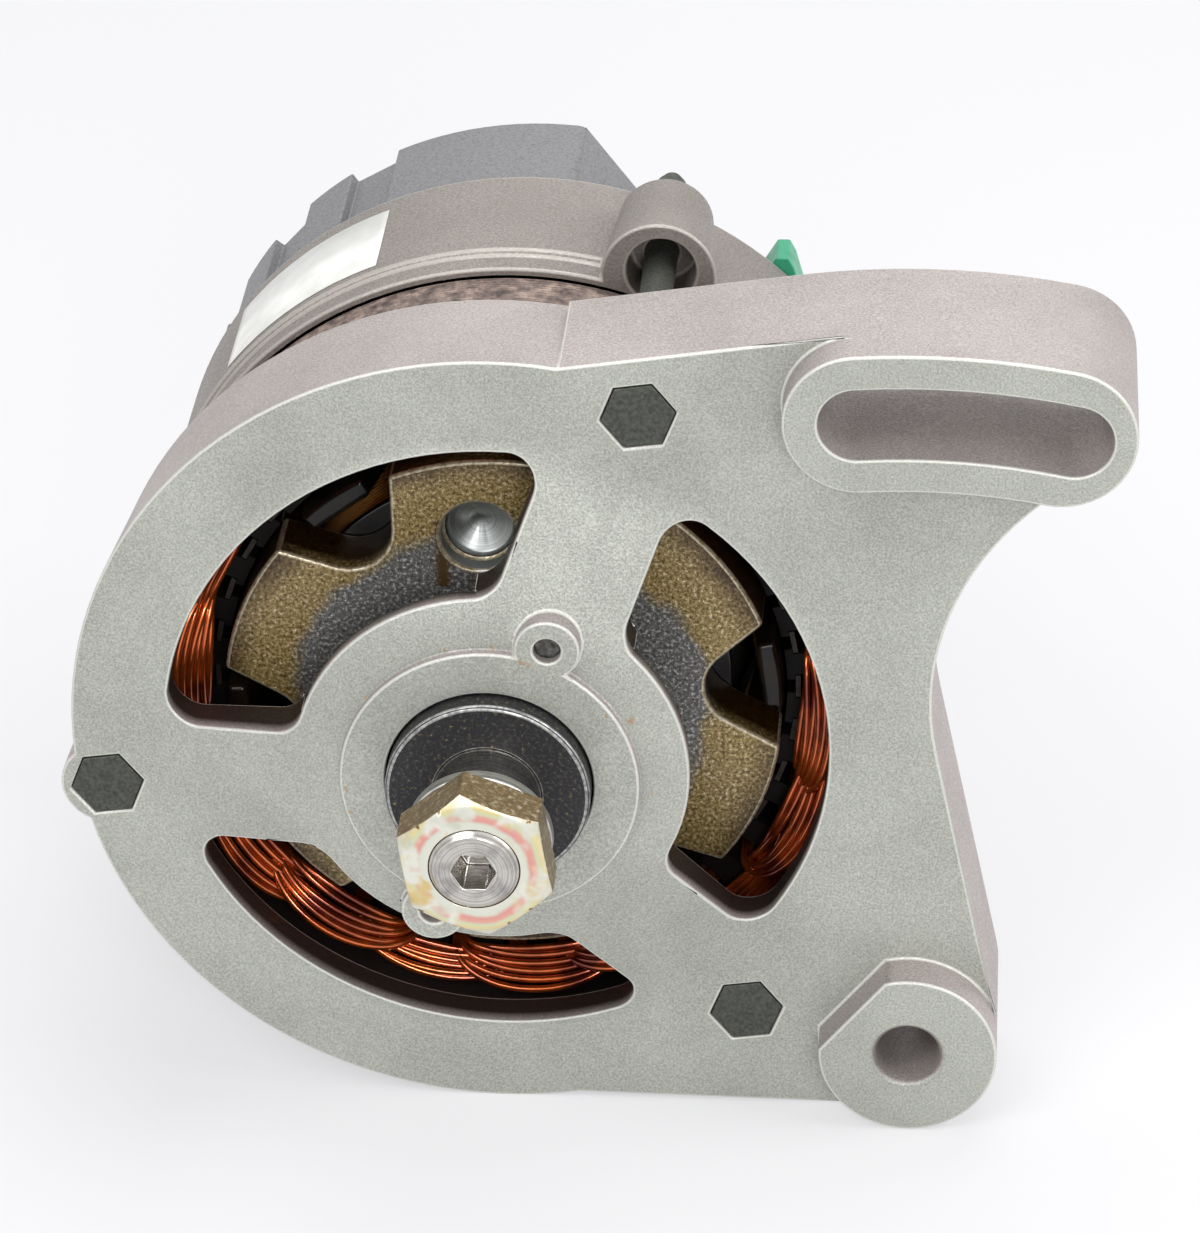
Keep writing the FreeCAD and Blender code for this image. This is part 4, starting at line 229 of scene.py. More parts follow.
def cast_aluminium(name, face, side, grain_mm, painted_edge_highlight=None, windows=False):
    """Shot-blasted casting: even matt grain that sparkles, greener on the blasted face than on the drafted
    sides, with dirt in soft patches. A rounded edge can be the same metal mixed towards a brighter colour, a
    painted highlight. Inside the windows the walls are painted brown-black as shade that deepens behind the
    arms' fronts, and rust specks have started at the hub."""
    material, node, at, surface = new_material(name)
    # Blasting grit leaves pits of about 0.2 mm; drawn a little coarser so that they show.
    grain = node("ShaderNodeTexNoise", {"Vector": at, "Scale": per_metre(grain_mm), "Detail": 3.0,
                                        "Roughness": 0.65})
    # Oily dirt has dried in patches two or three centimetres wide.
    patch = node("ShaderNodeTexNoise", {"Vector": at, "Scale": per_metre(22), "Detail": 4.0,
                                        "Roughness": 0.6})
    normal = node("ShaderNodeNewGeometry").outputs["Normal"]
    ahead = node("ShaderNodeSeparateXYZ", {"Vector": normal}).outputs["Y"]
    facing = node("ShaderNodeMapRange", {"Value": ahead, "From Min": -0.95, "From Max": -0.45})
    tone = node("ShaderNodeMix", {"Factor": facing, "A": linear(face), "B": linear(side)}, data_type="RGBA")
    soiled = node("ShaderNodeValToRGB", {"Fac": patch}, stops=((0.30, 0.86), (0.62, 1.04)))
    tone = node("ShaderNodeMix", {"Factor": 1.0, "A": tone, "B": soiled}, data_type="RGBA",
                blend_type="MULTIPLY")
    spots = node("ShaderNodeValToRGB", {"Fac": grain}, stops=((0.34, 0.80), (0.50, 1.0), (0.66, 1.26)))
    tone = node("ShaderNodeMix", {"Factor": 1.0, "A": tone, "B": spots}, data_type="RGBA",
                blend_type="MULTIPLY")
    if painted_edge_highlight:
        # Painted highlight: the rounded edge's colour is mixed towards a bright one.
        tone = node("ShaderNodeMix", {"Factor": 0.38, "A": tone, "B": linear(painted_edge_highlight)}, data_type="RGBA")
    if windows:
        reach, along = off_line(node, at)
        # Rust specks of two or three millimetres, in a ring round the hub's groove only.
        rust = node("ShaderNodeTexNoise", {"Vector": at, "Scale": per_metre(2.6), "Detail": 3.0})
        speck = node("ShaderNodeMapRange", {"Value": rust, "From Min": 0.64, "From Max": 0.70})
        near = node("ShaderNodeMath", {0: reach, 1: GROOVE_RADIUS * MM, 2: 2.2 * MM}, operation="COMPARE")
        speck = node("ShaderNodeMath", {0: speck, 1: near}, operation="MULTIPLY")
        speck = node("ShaderNodeMath", {0: speck, 1: 0.6}, operation="MULTIPLY")
        tone = node("ShaderNodeMix", {"Factor": speck, "A": tone, "B": linear("#A97F50")}, data_type="RGBA")
        # Painted shade: the walls darken towards brown-black with their depth behind the cone that the arms'
        # fronts lie on.
        cone = node("ShaderNodeMapRange", {
            "Value": reach, "From Min": CONE_START * MM, "From Max": CONE_END * MM,
            "To Min": (RIM_FACE - CONE_RISE) * MM, "To Max": RIM_FACE * MM})
        deep = node("ShaderNodeMath", {0: along, 1: cone}, operation="SUBTRACT")
        dark = node("ShaderNodeMapRange", {"Value": deep, "From Min": 0.7 * MM, "From Max": 2.6 * MM})
        inside = node("ShaderNodeMath", {0: reach, 1: WINDOW_RADIUS * MM, 2: WINDOW_HALF * MM},
                      operation="COMPARE")
        dark = node("ShaderNodeMath", {0: dark, 1: inside}, operation="MULTIPLY")
        tone = node("ShaderNodeMix", {"Factor": dark, "A": tone, "B": linear("#2B2421")}, data_type="RGBA")
    bump = node("ShaderNodeBump", {"Height": grain, "Strength": 0.3 if painted_edge_highlight else 0.7, "Distance": 0.2 * MM})
    glint = node("ShaderNodeValToRGB", {"Fac": grain}, stops=((0.40, 0.60), (0.66, 0.34)))
    join(surface, {"Base Color": tone, "Metallic": 0.4, "Roughness": glint, "Normal": bump})
    return material


def grained(name, light, dark, grain_mm, metal, rough, bump_mm=0.05, tones=(0.35, 0.65), coat=0.0):
    """Two tones of one finish, mottled at the size of its grain, with the grain's own relief."""
    material, node, at, surface = new_material(name)
    grain = node("ShaderNodeTexNoise", {"Vector": at, "Scale": per_metre(grain_mm), "Detail": 4.0})
    tone = node("ShaderNodeValToRGB", {"Fac": grain},
                stops=((tones[0], linear(dark)), (tones[1], linear(light))))
    bump = node("ShaderNodeBump", {"Height": grain, "Strength": 0.6, "Distance": bump_mm * MM})
    gloss = node("ShaderNodeValToRGB", {"Fac": grain},
                 stops=((0.3, min(1.0, rough * 1.2)), (0.7, rough * 0.85)))
    join(surface, {"Base Color": tone, "Metallic": metal, "Roughness": gloss, "Normal": bump,
                   "Coat Weight": coat, "Coat Roughness": 0.12})
    return material


def turned_metal(name, light, dark, groove_mm, rough, depth=0.4):
    """Metal cut on a lathe: rings round the shaft's line at the tool's feed, some darker and some lighter."""
    material, node, at, surface = new_material(name)
    reach, along = off_line(node, at)
    line = node("ShaderNodeCombineXYZ", {"X": reach, "Y": along})
    feed = node("ShaderNodeTexNoise", {"Vector": line, "Scale": per_metre(groove_mm), "Detail": 2.0})
    # Finger stains about 3 mm wide dull the rings.
    stain = node("ShaderNodeTexNoise", {"Vector": at, "Scale": per_metre(3.0), "Detail": 4.0})
    tone = node("ShaderNodeValToRGB", {"Fac": feed}, stops=((0.35, linear(dark)), (0.62, linear(light))))
    stained = node("ShaderNodeValToRGB", {"Fac": stain}, stops=((0.30, 0.62), (0.55, 1.0)))
    tone = node("ShaderNodeMix", {"Factor": 1.0, "A": tone, "B": stained}, data_type="RGBA",
                blend_type="MULTIPLY")
    bump = node("ShaderNodeBump", {"Height": feed, "Strength": depth, "Distance": 0.05 * MM})
    join(surface, {"Base Color": tone, "Metallic": 1.0, "Roughness": rough, "Normal": bump})
    return material


def laminated_steel():
    """Edges of half-millimetre stampings: rusted outside in fine lines square to the shaft, and drowned in
    black winding varnish inside the castings."""
    material, node, at, surface = new_material("laminated_steel_rusted")
    reach, along = off_line(node, at)
    # Real stampings are 0.5 mm; drawn at 0.8 mm so that the lines show.
    line = node("ShaderNodeMath", {0: along, 1: per_metre(0.8) * math.tau}, operation="MULTIPLY")
    wave = node("ShaderNodeMath", {0: line}, operation="SINE")
    # Rust blooms of two or three millimetres.
    rust = node("ShaderNodeTexNoise", {"Vector": at, "Scale": per_metre(2.4), "Detail": 6.0,
                                       "Roughness": 0.7})
    tone = node("ShaderNodeValToRGB", {"Fac": rust},
                stops=((0.34, linear("#4A403E")), (0.50, linear("#7E6F69")), (0.66, linear("#B09C8F"))))
    bare = node("ShaderNodeMapRange", {"Value": reach, "From Min": STACK_BARE[0] * MM,
                                       "From Max": STACK_BARE[1] * MM})
    tone = node("ShaderNodeMix", {"Factor": bare, "A": linear("#0E0A08"), "B": tone}, data_type="RGBA")
    height = node("ShaderNodeMath", {0: wave, 1: rust}, operation="ADD")
    bump = node("ShaderNodeBump", {"Height": height, "Strength": 0.7, "Distance": 0.12 * MM})
    gloss = node("ShaderNodeMapRange", {"Value": bare, "To Min": 0.55, "To Max": 0.62})
    join(surface, {"Base Color": tone, "Metallic": 0.0, "Roughness": gloss, "Normal": bump,
                   "Specular IOR Level": 0.2})
    return material


def enamelled_copper(name, light, dark, metal):
    """Magnet wire: copper seen through clear amber-red enamel, glossy, darker where varnish has pooled."""
    material, node, at, surface = new_material(name)
    # Varnish pools over about nine millimetres, as wide as a bundle of wires.
    pool = node("ShaderNodeTexNoise", {"Vector": at, "Scale": per_metre(9), "Detail": 3.0})
    tone = node("ShaderNodeValToRGB", {"Fac": pool}, stops=((0.34, linear(dark)), (0.56, linear(light))))
    join(surface, {"Base Color": tone, "Metallic": metal, "Roughness": 0.2, "Coat Weight": 1.0,
                   "Coat Roughness": 0.06})
    return material


def varnished_pole():
    """Forged pole dipped in amber varnish outside and bare dark scale near the hub, with one brown run. The
    drilled balance hole shows fresh turned steel."""
    material, node, at, surface = new_material("forged_steel_varnished")
    reach, along = off_line(node, at)
    parts = node("ShaderNodeSeparateXYZ", {"Vector": at})
    # Forging scale of about 0.5 mm, drawn at 0.6 mm so that it shows.
    grit = node("ShaderNodeTexNoise", {"Vector": at, "Scale": per_metre(0.6), "Detail": 4.0,
                                       "Roughness": 0.75})
    # The dip's edge wanders by some millimetres over each centimetre.
    drift = node("ShaderNodeTexNoise", {"Vector": at, "Scale": per_metre(11), "Detail": 3.0})
    wander = node("ShaderNodeMath", {0: drift, 1: 9 * MM}, operation="MULTIPLY")
    border = node("ShaderNodeMath", {0: reach, 1: wander}, operation="ADD")
    outer = node("ShaderNodeMapRange", {"Value": border, "From Min": 36.2 * MM, "From Max": 38.4 * MM})
    # One run of varnish went down from the notch beside the balance hole, with uneven sides.
    off = node("ShaderNodeMath", {0: parts.outputs["X"], 1: 8.6 * MM}, operation="ADD")
    off = node("ShaderNodeMath", {0: off}, operation="ABSOLUTE")
    ragged = node("ShaderNodeMath", {0: grit, 1: 1.6 * MM}, operation="MULTIPLY")
    off = node("ShaderNodeMath", {0: off, 1: ragged}, operation="ADD")
    narrow = node("ShaderNodeMapRange", {"Value": off, "From Min": 2.5 * MM, "From Max": 1.3 * MM})
    height = node("ShaderNodeMath", {0: parts.outputs["Z"], 1: 28 * MM, 2: 6.0 * MM}, operation="COMPARE")
    run = node("ShaderNodeMath", {0: narrow, 1: height}, operation="MULTIPLY")
    # The amber's palest stop paints glints onto the forging scale.
    amber = node("ShaderNodeValToRGB", {"Fac": grit}, stops=(
        (0.36, linear("#3B2C13")), (0.49, linear("#8E7844")), (0.58, linear("#B9A26E")),
        (0.67, linear("#F6EFDA"))))
    scale = node("ShaderNodeValToRGB", {"Fac": grit}, stops=(
        (0.38, linear("#454443")), (0.54, linear("#757472")), (0.66, linear("#E2E1DE"))))
    tone = node("ShaderNodeMix", {"Factor": outer, "A": scale, "B": amber}, data_type="RGBA")
    tone = node("ShaderNodeMix", {"Factor": run, "A": tone, "B": linear("#4F3A18")}, data_type="RGBA")
    # Towards the rim the amber darkens, and down the walls of the notches it darkens as painted shade that
    # deepens behind the pole's face.
    thick = node("ShaderNodeMapRange", {"Value": border, "From Min": 44.5 * MM, "From Max": 49.5 * MM})
    wall = node("ShaderNodeMapRange", {"Value": along, "From Min": POLE_FACE * MM + 1.0 * MM,
                                       "From Max": POLE_FACE * MM + 3.5 * MM})
    thick = node("ShaderNodeMath", {0: thick, 1: wall}, operation="MAXIMUM")
    brown = node("ShaderNodeMix", {"Factor": 1.0, "A": tone, "B": linear("#6A5238")}, data_type="RGBA",
                 blend_type="MULTIPLY")
    tone = node("ShaderNodeMix", {"Factor": thick, "A": tone, "B": brown}, data_type="RGBA")
    from_hole = node("ShaderNodeVectorMath", {0: at, 1: BALANCE_HOLE * MM}, operation="SUBTRACT")
    hole_reach = off_line(node, from_hole)[0]
    drilled = node("ShaderNodeMath", {0: hole_reach, 1: BALANCE_RADIUS * MM}, operation="LESS_THAN")
    # The drill's feed leaves rings about 0.2 mm apart.
    rings = node("ShaderNodeCombineXYZ", {"X": hole_reach})
    cut = node("ShaderNodeTexNoise", {"Vector": rings, "Scale": per_metre(0.22), "Detail": 2.0})
    steel = node("ShaderNodeValToRGB", {"Fac": cut},
                 stops=((0.36, linear("#8E9190")), (0.64, linear("#B0B3B1"))))
    tone = node("ShaderNodeMix", {"Factor": drilled, "A": tone, "B": steel}, data_type="RGBA")
    relief = node("ShaderNodeMapRange", {"Value": drilled, "To Min": 0.75, "To Max": 0.05})
    bump = node("ShaderNodeBump", {"Height": grit, "Strength": relief, "Distance": 0.25 * MM})
    gloss = node("ShaderNodeMapRange", {"Value": outer, "To Min": 0.42, "To Max": 0.28})
    metal = node("ShaderNodeMapRange", {"Value": drilled, "To Min": 0.4, "To Max": 1.0})
    join(surface, {"Base Color": tone, "Metallic": metal, "Roughness": gloss, "Normal": bump,
                   "Coat Weight": 0.35, "Coat Roughness": 0.18})
    return material


def dipped_black(name):
    """Forged steel under a thick dip of black winding varnish: wet-looking, with slow waves in the gloss."""
    material, node, at, surface = new_material(name)
    # The dip has sagged in waves about 5 mm long.
    slow = node("ShaderNodeTexNoise", {"Vector": at, "Scale": per_metre(5), "Detail": 2.0})
    tone = node("ShaderNodeValToRGB", {"Fac": slow},
                stops=((0.35, linear("#0B0908")), (0.65, linear("#1D1611"))))
    bump = node("ShaderNodeBump", {"Height": slow, "Strength": 0.5, "Distance": 0.4 * MM})
    join(surface, {"Base Color": tone, "Metallic": 0.0, "Roughness": 0.3, "Normal": bump,
                   "Specular IOR Level": 0.2, "Coat Weight": 0.25, "Coat Roughness": 0.08})
    return material


def passivated_zinc():
    """Yellow-passivated zinc plate: brown, speckled facets, and on the pressed face rings that turn to rose
    and green where a spanner socket has polished the film."""
    material, node, at, surface = new_material("zinc_plate_yellow_passivated")
    # The film's thickness, and so its colour, changes over some millimetres.
    cloud = node("ShaderNodeTexNoise", {"Vector": at, "Scale": per_metre(7), "Detail": 3.0})
    shift = node("ShaderNodeMath", {0: cloud, 1: 2.2 * MM}, operation="MULTIPLY")
    ringed = node("ShaderNodeMath", {0: off_line(node, at)[0], 1: shift}, operation="ADD")
    place = node("ShaderNodeMapRange", {"Value": ringed, "From Min": 7.5 * MM, "From Max": 13.5 * MM})
    pale = node("ShaderNodeValToRGB", {"Fac": cloud}, stops=(
        (0.36, linear("#C9CBB8")), (0.52, linear("#E4E3D8")), (0.62, linear("#D8C08A"))))
    rings = node("ShaderNodeValToRGB", {"Fac": place}, stops=(
        (0.10, linear("#E2E0D6")), (0.30, linear("#D8DCCB")), (0.40, linear("#DE9F96")),
        (0.52, linear("#E3A89A")), (0.60, linear("#CFD6B4")), (0.72, linear("#E2D29A")),
        (0.92, linear("#DDDBCB"))))
    # The film is rubbed off in arcs, so the rings show broken.
    broken = node("ShaderNodeTexNoise", {"Vector": at, "Scale": per_metre(5), "Detail": 2.0})
    gone = node("ShaderNodeMapRange", {"Value": broken, "From Min": 0.56, "From Max": 0.46})
    rings = node("ShaderNodeMix", {"Factor": gone, "A": pale, "B": rings}, data_type="RGBA")
    # Handling has worn pale specks of just under a millimetre into the facets.
    worn = node("ShaderNodeTexNoise", {"Vector": at, "Scale": per_metre(0.9), "Detail": 5.0,
                                       "Roughness": 0.7})
    facet = node("ShaderNodeValToRGB", {"Fac": worn}, stops=(
        (0.34, linear("#7A6649")), (0.54, linear("#98825F")), (0.70, linear("#E2DAC6"))))
    normal = node("ShaderNodeNewGeometry").outputs["Normal"]
    ahead = node("ShaderNodeSeparateXYZ", {"Vector": normal}).outputs["Y"]
    aside = node("ShaderNodeMapRange", {"Value": ahead, "From Min": -0.9, "From Max": -0.5})
    tone = node("ShaderNodeMix", {"Factor": aside, "A": rings, "B": facet}, data_type="RGBA")
    # Plating crystals are far finer than a picture shows; drawn at 0.5 mm.
    fine = node("ShaderNodeTexNoise", {"Vector": at, "Scale": per_metre(0.5), "Detail": 3.0})
    bump = node("ShaderNodeBump", {"Height": fine, "Strength": 0.3, "Distance": 0.05 * MM})
    join(surface, {"Base Color": tone, "Metallic": 0.85, "Roughness": 0.34, "Normal": bump})
    return material


def oxide_black():
    """Black oxide on machined steel with tiny spots of metal and dust showing through."""
    material, node, at, surface = new_material("steel_black_oxide_worn")
    # Dust grains of about 0.2 mm, drawn at 0.7 mm so that they show.
    dust = node("ShaderNodeTexNoise", {"Vector": at, "Scale": per_metre(0.7), "Detail": 5.0,
                                       "Roughness": 0.75})
    tone = node("ShaderNodeValToRGB", {"Fac": dust}, stops=(
        (0.50, linear("#26262A")), (0.62, linear("#4A473F")), (0.70, linear("#B49B62"))))
    bump = node("ShaderNodeBump", {"Height": dust, "Strength": 0.5, "Distance": 0.08 * MM})
    join(surface, {"Base Color": tone, "Metallic": 0.4, "Roughness": 0.5, "Normal": bump})
    return material


def dress(names, material, bevel_mm=0.0, edge=None, angle=42, smooth=38):
    """Gives solids their finish, shades them smooth across shallow edges and rounds the sharp ones, on which
    an edge material can paint a highlight. Below the angle, in degrees, an edge isn't rounded."""
    for name in names:
        piece = NODES[name]
        mesh = piece.data
        mesh.materials.clear()
        mesh.materials.append(material)
        mesh.shade_smooth()
        mesh.set_sharp_from_angle(angle=math.radians(smooth))
        if bevel_mm:
            weld = piece.modifiers.new("joined_facets", "WELD")
            weld.merge_threshold = 0.002 * MM
            merge = piece.modifiers.new("flat_faces", "DECIMATE")
            merge.decimate_type = "DISSOLVE"
            merge.angle_limit = math.radians(0.1)
            bevel = piece.modifiers.new("edge_round", "BEVEL")
            bevel.width = bevel_mm * MM
            bevel.segments = 3
            bevel.limit_method = "ANGLE"
            bevel.angle_limit = math.radians(angle)
            bevel.use_clamp_overlap = False
            if edge:
                mesh.materials.append(edge)
                bevel.material = 1
            weigh = piece.modifiers.new("even_shading", "WEIGHTED_NORMAL")
            weigh.keep_sharp = True


def new_piece(name, points, faces, material, body):
    """A smooth mesh in millimetres that rides on a body."""
    mesh = bpy.data.meshes.new(name)
    mesh.from_pydata([Vector(p) * MM for p in points], [], faces)
    mesh.validate()
    mesh.materials.append(material)
    mesh.shade_smooth()
    piece = bpy.data.objects.new(name, mesh)
    bpy.context.scene.collection.objects.link(piece)
    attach(piece, body)
    return piece


def around(radius, angle, y):
    """A point by its distance from the shaft, its angle in degrees from +X towards +Z and its Y."""
    turn = math.radians(angle)
    return Vector((radius * math.cos(turn), y, radius * math.sin(turn)))


def circle(sides):
    """The turns in radians at which a round section has its points."""
    return [math.tau * side / sides for side in range(sides)]


def lathe(profile, count, points, faces, start=0.0, sweep=360.0):
    """Turns a profile of (radius, Y) about the shaft's line into the lists."""
    closed = sweep >= 360
    first = len(points)
    turns = count if closed else count + 1
    for turn in range(turns):
        points.extend(around(radius, start + sweep * turn / count, y) for radius, y in profile)
    size = len(profile)
    for turn in range(count):
        a = first + turn * size
        b = first + ((turn + 1) % turns) * size
        for step in range(size - 1):
            faces.append((a + step, a + step + 1, b + step + 1, b + step))


def sleeve(rings, points, faces, closed=True):
    """Joins rings of points by bands of faces into the lists, and the last ring to the first if closed."""
    first = len(points)
    sides = len(rings[0])
    for ring in rings:
        points.extend(ring)
    for number in range(len(rings) if closed else len(rings) - 1):
        a = first + number * sides
        b = first + ((number + 1) % len(rings)) * sides
        for side in range(sides):
            following = (side + 1) % sides
            faces.append((a + side, a + following, b + following, b + side))


def wire(path, radius, sides, points, faces):
    """A closed round wire along a loop of points."""
    rings = []
    for number, here in enumerate(path):
        ahead = (path[(number + 1) % len(path)] - path[number - 1]).normalized()
        outward = Vector((here.x, 0, here.z)).normalized()
        across = ahead.cross(outward).normalized()
        lift = across.cross(ahead).normalized()
        rings.append([here + (across * math.cos(turn) + lift * math.sin(turn)) * radius
                      for turn in circle(sides)])
    sleeve(rings, points, faces)


def make_castings(sizes, colours):
    face = cast_aluminium("aluminium_cast_shot_blasted", colours.front_face, colours.front_side, 0.36,
                          windows=True)
    # The rounded edges get a painted highlight as their own material.
    painted_edge_highlight = cast_aluminium("aluminium_cast_painted_edge_highlight", colours.front_face, colours.front_side, 0.36,
                            painted_edge_highlight="#F4F5EE")
    dress(["drive_end_bracket"], face, sizes.cast_edge / MM, painted_edge_highlight, angle=60)
    rear = cast_aluminium("aluminium_cast_rear", colours.rear_casting, colours.rear_casting, 0.4)
    # The rear casting's rounded edges get a painted highlight too.
    worn = cast_aluminium("aluminium_cast_rear_painted_edge_highlight", colours.rear_casting, colours.rear_casting, 0.4,
                          painted_edge_highlight="#CFC9C2")
    dress(["rear_bracket"], rear, 0.5, worn)


def end_turn(first_angle, share, coil, sizes):
    """One turn of wire: out of its slot, over three pitches in an arch, down the next slot and back behind.
    The share runs from the bundle's innermost wire, which arches low and short, to its outermost."""
    leg = (sizes.coil_inner / MM + coil["out"] * LEG_SHARE + coil["fan"] / 2
           + (LAYER if coil["even"] else -LAYER))
    crown = sizes.coil_inner / MM + coil["out"] + coil["fan"] * share
    height = (sizes.coil_height / MM * (coil["low"] + (coil["high"] - coil["low"]) * share)
              + coil["sway"] * 1.5)
    near = first_angle + LEG_FAN / 2 - LEG_FAN * share
    far = first_angle + COIL_SPAN - LEG_FAN / 2 + LEG_FAN * share
    path = []
    for end, sign in ((STACK_FRONT, -1), (STACK_BACK, 1)):
        steps = []
        for number in range(ARCH_STEPS + 1):
            turn = math.pi * number / ARCH_STEPS
            lift = math.sin(turn) ** ARCH_BLUNT if 0 < number < ARCH_STEPS else 0.0
            angle = near + (far - near) * (1 - math.cos(turn)) / 2
            radius = leg + (crown - leg) * lift + coil["sway"] * math.sin(2 * turn)
            steps.append(around(radius, angle, end + sign * height * lift))
        path += steps if sign < 0 else steps[::-1]
    return path


def make_stator(sizes, colours):
    dress(["stator_core"], laminated_steel())
    # Vulcanised fibre soaked in varnish: brown-black and half matt.
    dress(["slot_wedges"], grained("fibre_wedge_varnished", "#2A1C12", "#0E0A08", 1.2, 0.0, 0.5))
    copper = enamelled_copper("copper_wire_red_enamel", colours.stator_wire, "#7A2A10", 0.8)
    draw = random.Random(11)
    points, faces = [], []
    for number in range(COILS):
        coil = dict(PHASES[number % 3])
        coil["out"] += draw.uniform(0.0, 0.4)
        for turn in range(WIRES):
            coil["even"] = turn % 2 == 0
            coil["sway"] = draw.uniform(-0.24, 0.24)
            path = end_turn(360 / COILS * number, turn / (WIRES - 1), coil, sizes)
            wire(path, sizes.stator_wire / MM / 2, 8, points, faces)
    strands = new_piece("stator_wire_loops", points, faces, copper, "housing")
    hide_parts("stator_winding")


def make_rotor(sizes, colours):
    # Painted highlight on the pole's rounded edges: straw-grey and brighter than the dip.
    bright = grained("forged_steel_painted_edge_highlight", "#C9BFA8", "#8A7A5C", 0.6, 0.5, 0.3, bump_mm=0.1)
    dress(["front_claw_pole"], varnished_pole(), 0.6, bright)
    dress(["rear_claw_pole"], dipped_black("forged_steel_black_dip"), 0.9)
    # Hot forging scale, even and dark.
    dress(["field_core"], grained("forged_steel_dark", "#5A5A5C", "#303032", 1.0, 0.6, 0.5))
    # Moulded nylon under clear varnish: black with wet highlights.
    dress(["coil_bobbin"],
          grained("nylon_black_varnished", "#1A1A1B", "#0E0E0F", 3.0, 0.0, 0.22, coat=0.8), 0.3)
    copper = enamelled_copper("copper_wire_fine", colours.field_wire, "#C4702C", 0.3)
    turns = int((FIELD_BACK - FIELD_FRONT) / (sizes.field_wire / MM))
    thick = (FIELD_BACK - FIELD_FRONT) / turns
    profile = [(FIELD_RADIUS - FIELD_DEPTH, FIELD_FRONT + 0.02)]
    for turn in range(turns):
        middle = FIELD_FRONT + thick * (turn + 0.5)
        for step in range(FIELD_STEPS):
            bend = math.pi * (step + 0.5) / FIELD_STEPS
            # The round ends just short of the next wire's.
            profile.append((FIELD_RADIUS - thick / 2 + thick / 2 * math.sin(bend),
                            middle - thick / 2 * 0.98 * math.cos(bend)))
    profile.append((FIELD_RADIUS - FIELD_DEPTH, FIELD_BACK - 0.02))
    points, faces = [], []
    lathe(profile + [profile[0]], 96, points, faces)
    coil = new_piece("field_wire_turns", points, faces, copper, "rotor")
    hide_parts("field_coil")
    # Pressed phenolic resin: brown-black and waxy.
    dress(["slip_ring_carrier"], grained("phenolic_black", "#1F1C1A", "#131110", 2.0, 0.0, 0.4), 0.2)
    dress(["front_slip_ring", "rear_slip_ring"],
          turned_metal("copper_turned", "#C88A66", "#8C5A3E", 0.4, 0.25), 0.15)


def make_nose(sizes, colours):
    dress(["rotor_shaft"],
          turned_metal("steel_turned_bright", "#D6D3CE", "#A9A6A1", 0.3, 0.22, depth=0.15), 0.25)
    # Painted highlight on the spacer's rounded rim: grey metal with soft highlights.
    painted_edge_highlight = grained("steel_painted_edge_highlight", "#B9B9B6", "#77777A", 0.8, 0.9, 0.35)
    dress(["pulley_spacer"], oxide_black(), 0.25, painted_edge_highlight)
    dress(["spring_washer"], turned_metal("steel_spring_bright", "#C9C8C4", "#8D8C8A", 0.6, 0.32), 0.3)
    dress(["shaft_nut"], passivated_zinc(), 0.12)


def make_fasteners(sizes, colours):
    # Phosphate holds oil: greenish dark grey, nearly without gloss.
    dark = grained("steel_phosphated_dark", "#54564F", "#383A37", 0.6, 0.5, 0.5, bump_mm=0.1,
                   tones=(0.3, 0.7))
    dress(["through_bolts"], dark, 0.2)
    # Oil-quenched screws keep a dark film that shines a little.
    dress(["retainer_screws"], grained("steel_oiled_dark", "#6A6B6C", "#3E3F40", 0.9, 0.9, 0.35), 0.25)
    # Electroplated zinc, pale with cloudy grey spangle.
    zinc = grained("steel_zinc_plated", "#B9BAB4", "#84857F", 1.2, 1.0, 0.34)
    dress(["rectifier_screws", "regulator_screws", "output_stud", "output_nut", "cover_studs", "cover_nuts"],
          zinc, 0.25)


def make_bearings(sizes, colours):
    dress(["front_bearing_outer_ring", "front_bearing_inner_ring", "rear_bearing_outer_ring",
           "rear_bearing_inner_ring"],
          turned_metal("bearing_steel_ground", "#C4C5C7", "#96979A", 0.3, 0.18))
    # Lapped balls: a mirror, with only a breath of unevenness.
    polished = grained("ball_steel_polished", "#D5D6D9", "#C2C3C6", 4.0, 1.0, 0.06, bump_mm=0.0)
    dress(["front_bearing_balls", "rear_bearing_balls"], polished, smooth=60)
    # Cold-rolled sheet after pressing: satin grey.
    pressed = grained("steel_pressed", "#A5A6A5", "#7C7D7C", 1.5, 1.0, 0.35)
    dress(["front_bearing_cage", "rear_bearing_cage", "bearing_retainer_plate"], pressed, 0.15)
    # Moulded nylon, unfilled: black with a soft sheen.
    dress(["bearing_sleeve"], grained("nylon_black_moulded", "#202021", "#151516", 1.5, 0.0, 0.45), 0.2)


def wind_spring(side, steel):
    """A compression spring as long as its solid, with flat turns at each end."""
    low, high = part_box(side + "_brush_spring")
    middle = (low + high) / 2 / MM
    coil_radius = (high.x - low.x) / 2 / MM - SPRING_WIRE / 2
    rise = (high.z - low.z) / MM - SPRING_WIRE
    steps = SPRING_TURNS * SPRING_STEPS
    rings = []
    for step in range(steps + 1):
        turn = math.tau * step / SPRING_STEPS
        climb = (step / steps * SPRING_TURNS - SPRING_FLAT) / (SPRING_TURNS - 2 * SPRING_FLAT)
        height = low.z / MM + SPRING_WIRE / 2 + min(max(climb, 0.0), 1.0) * rise
        ring = []
        for bend in circle(SPRING_SIDES):
            radius = coil_radius + SPRING_WIRE / 2 * math.cos(bend)
            ring.append(Vector((middle.x + radius * math.cos(turn), middle.y + radius * math.sin(turn),
                                height + SPRING_WIRE / 2 * math.sin(bend))))
        rings.append(ring)
    points, faces = [], []
    sleeve(rings, points, faces, closed=False)
    faces.append(tuple(range(SPRING_SIDES))[::-1])
    faces.append(tuple(range(len(points) - SPRING_SIDES, len(points))))
    spring = new_piece(side + "_spring_coil", points, faces, steel, "housing")
    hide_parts(side + "_brush_spring")
    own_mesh(spring)


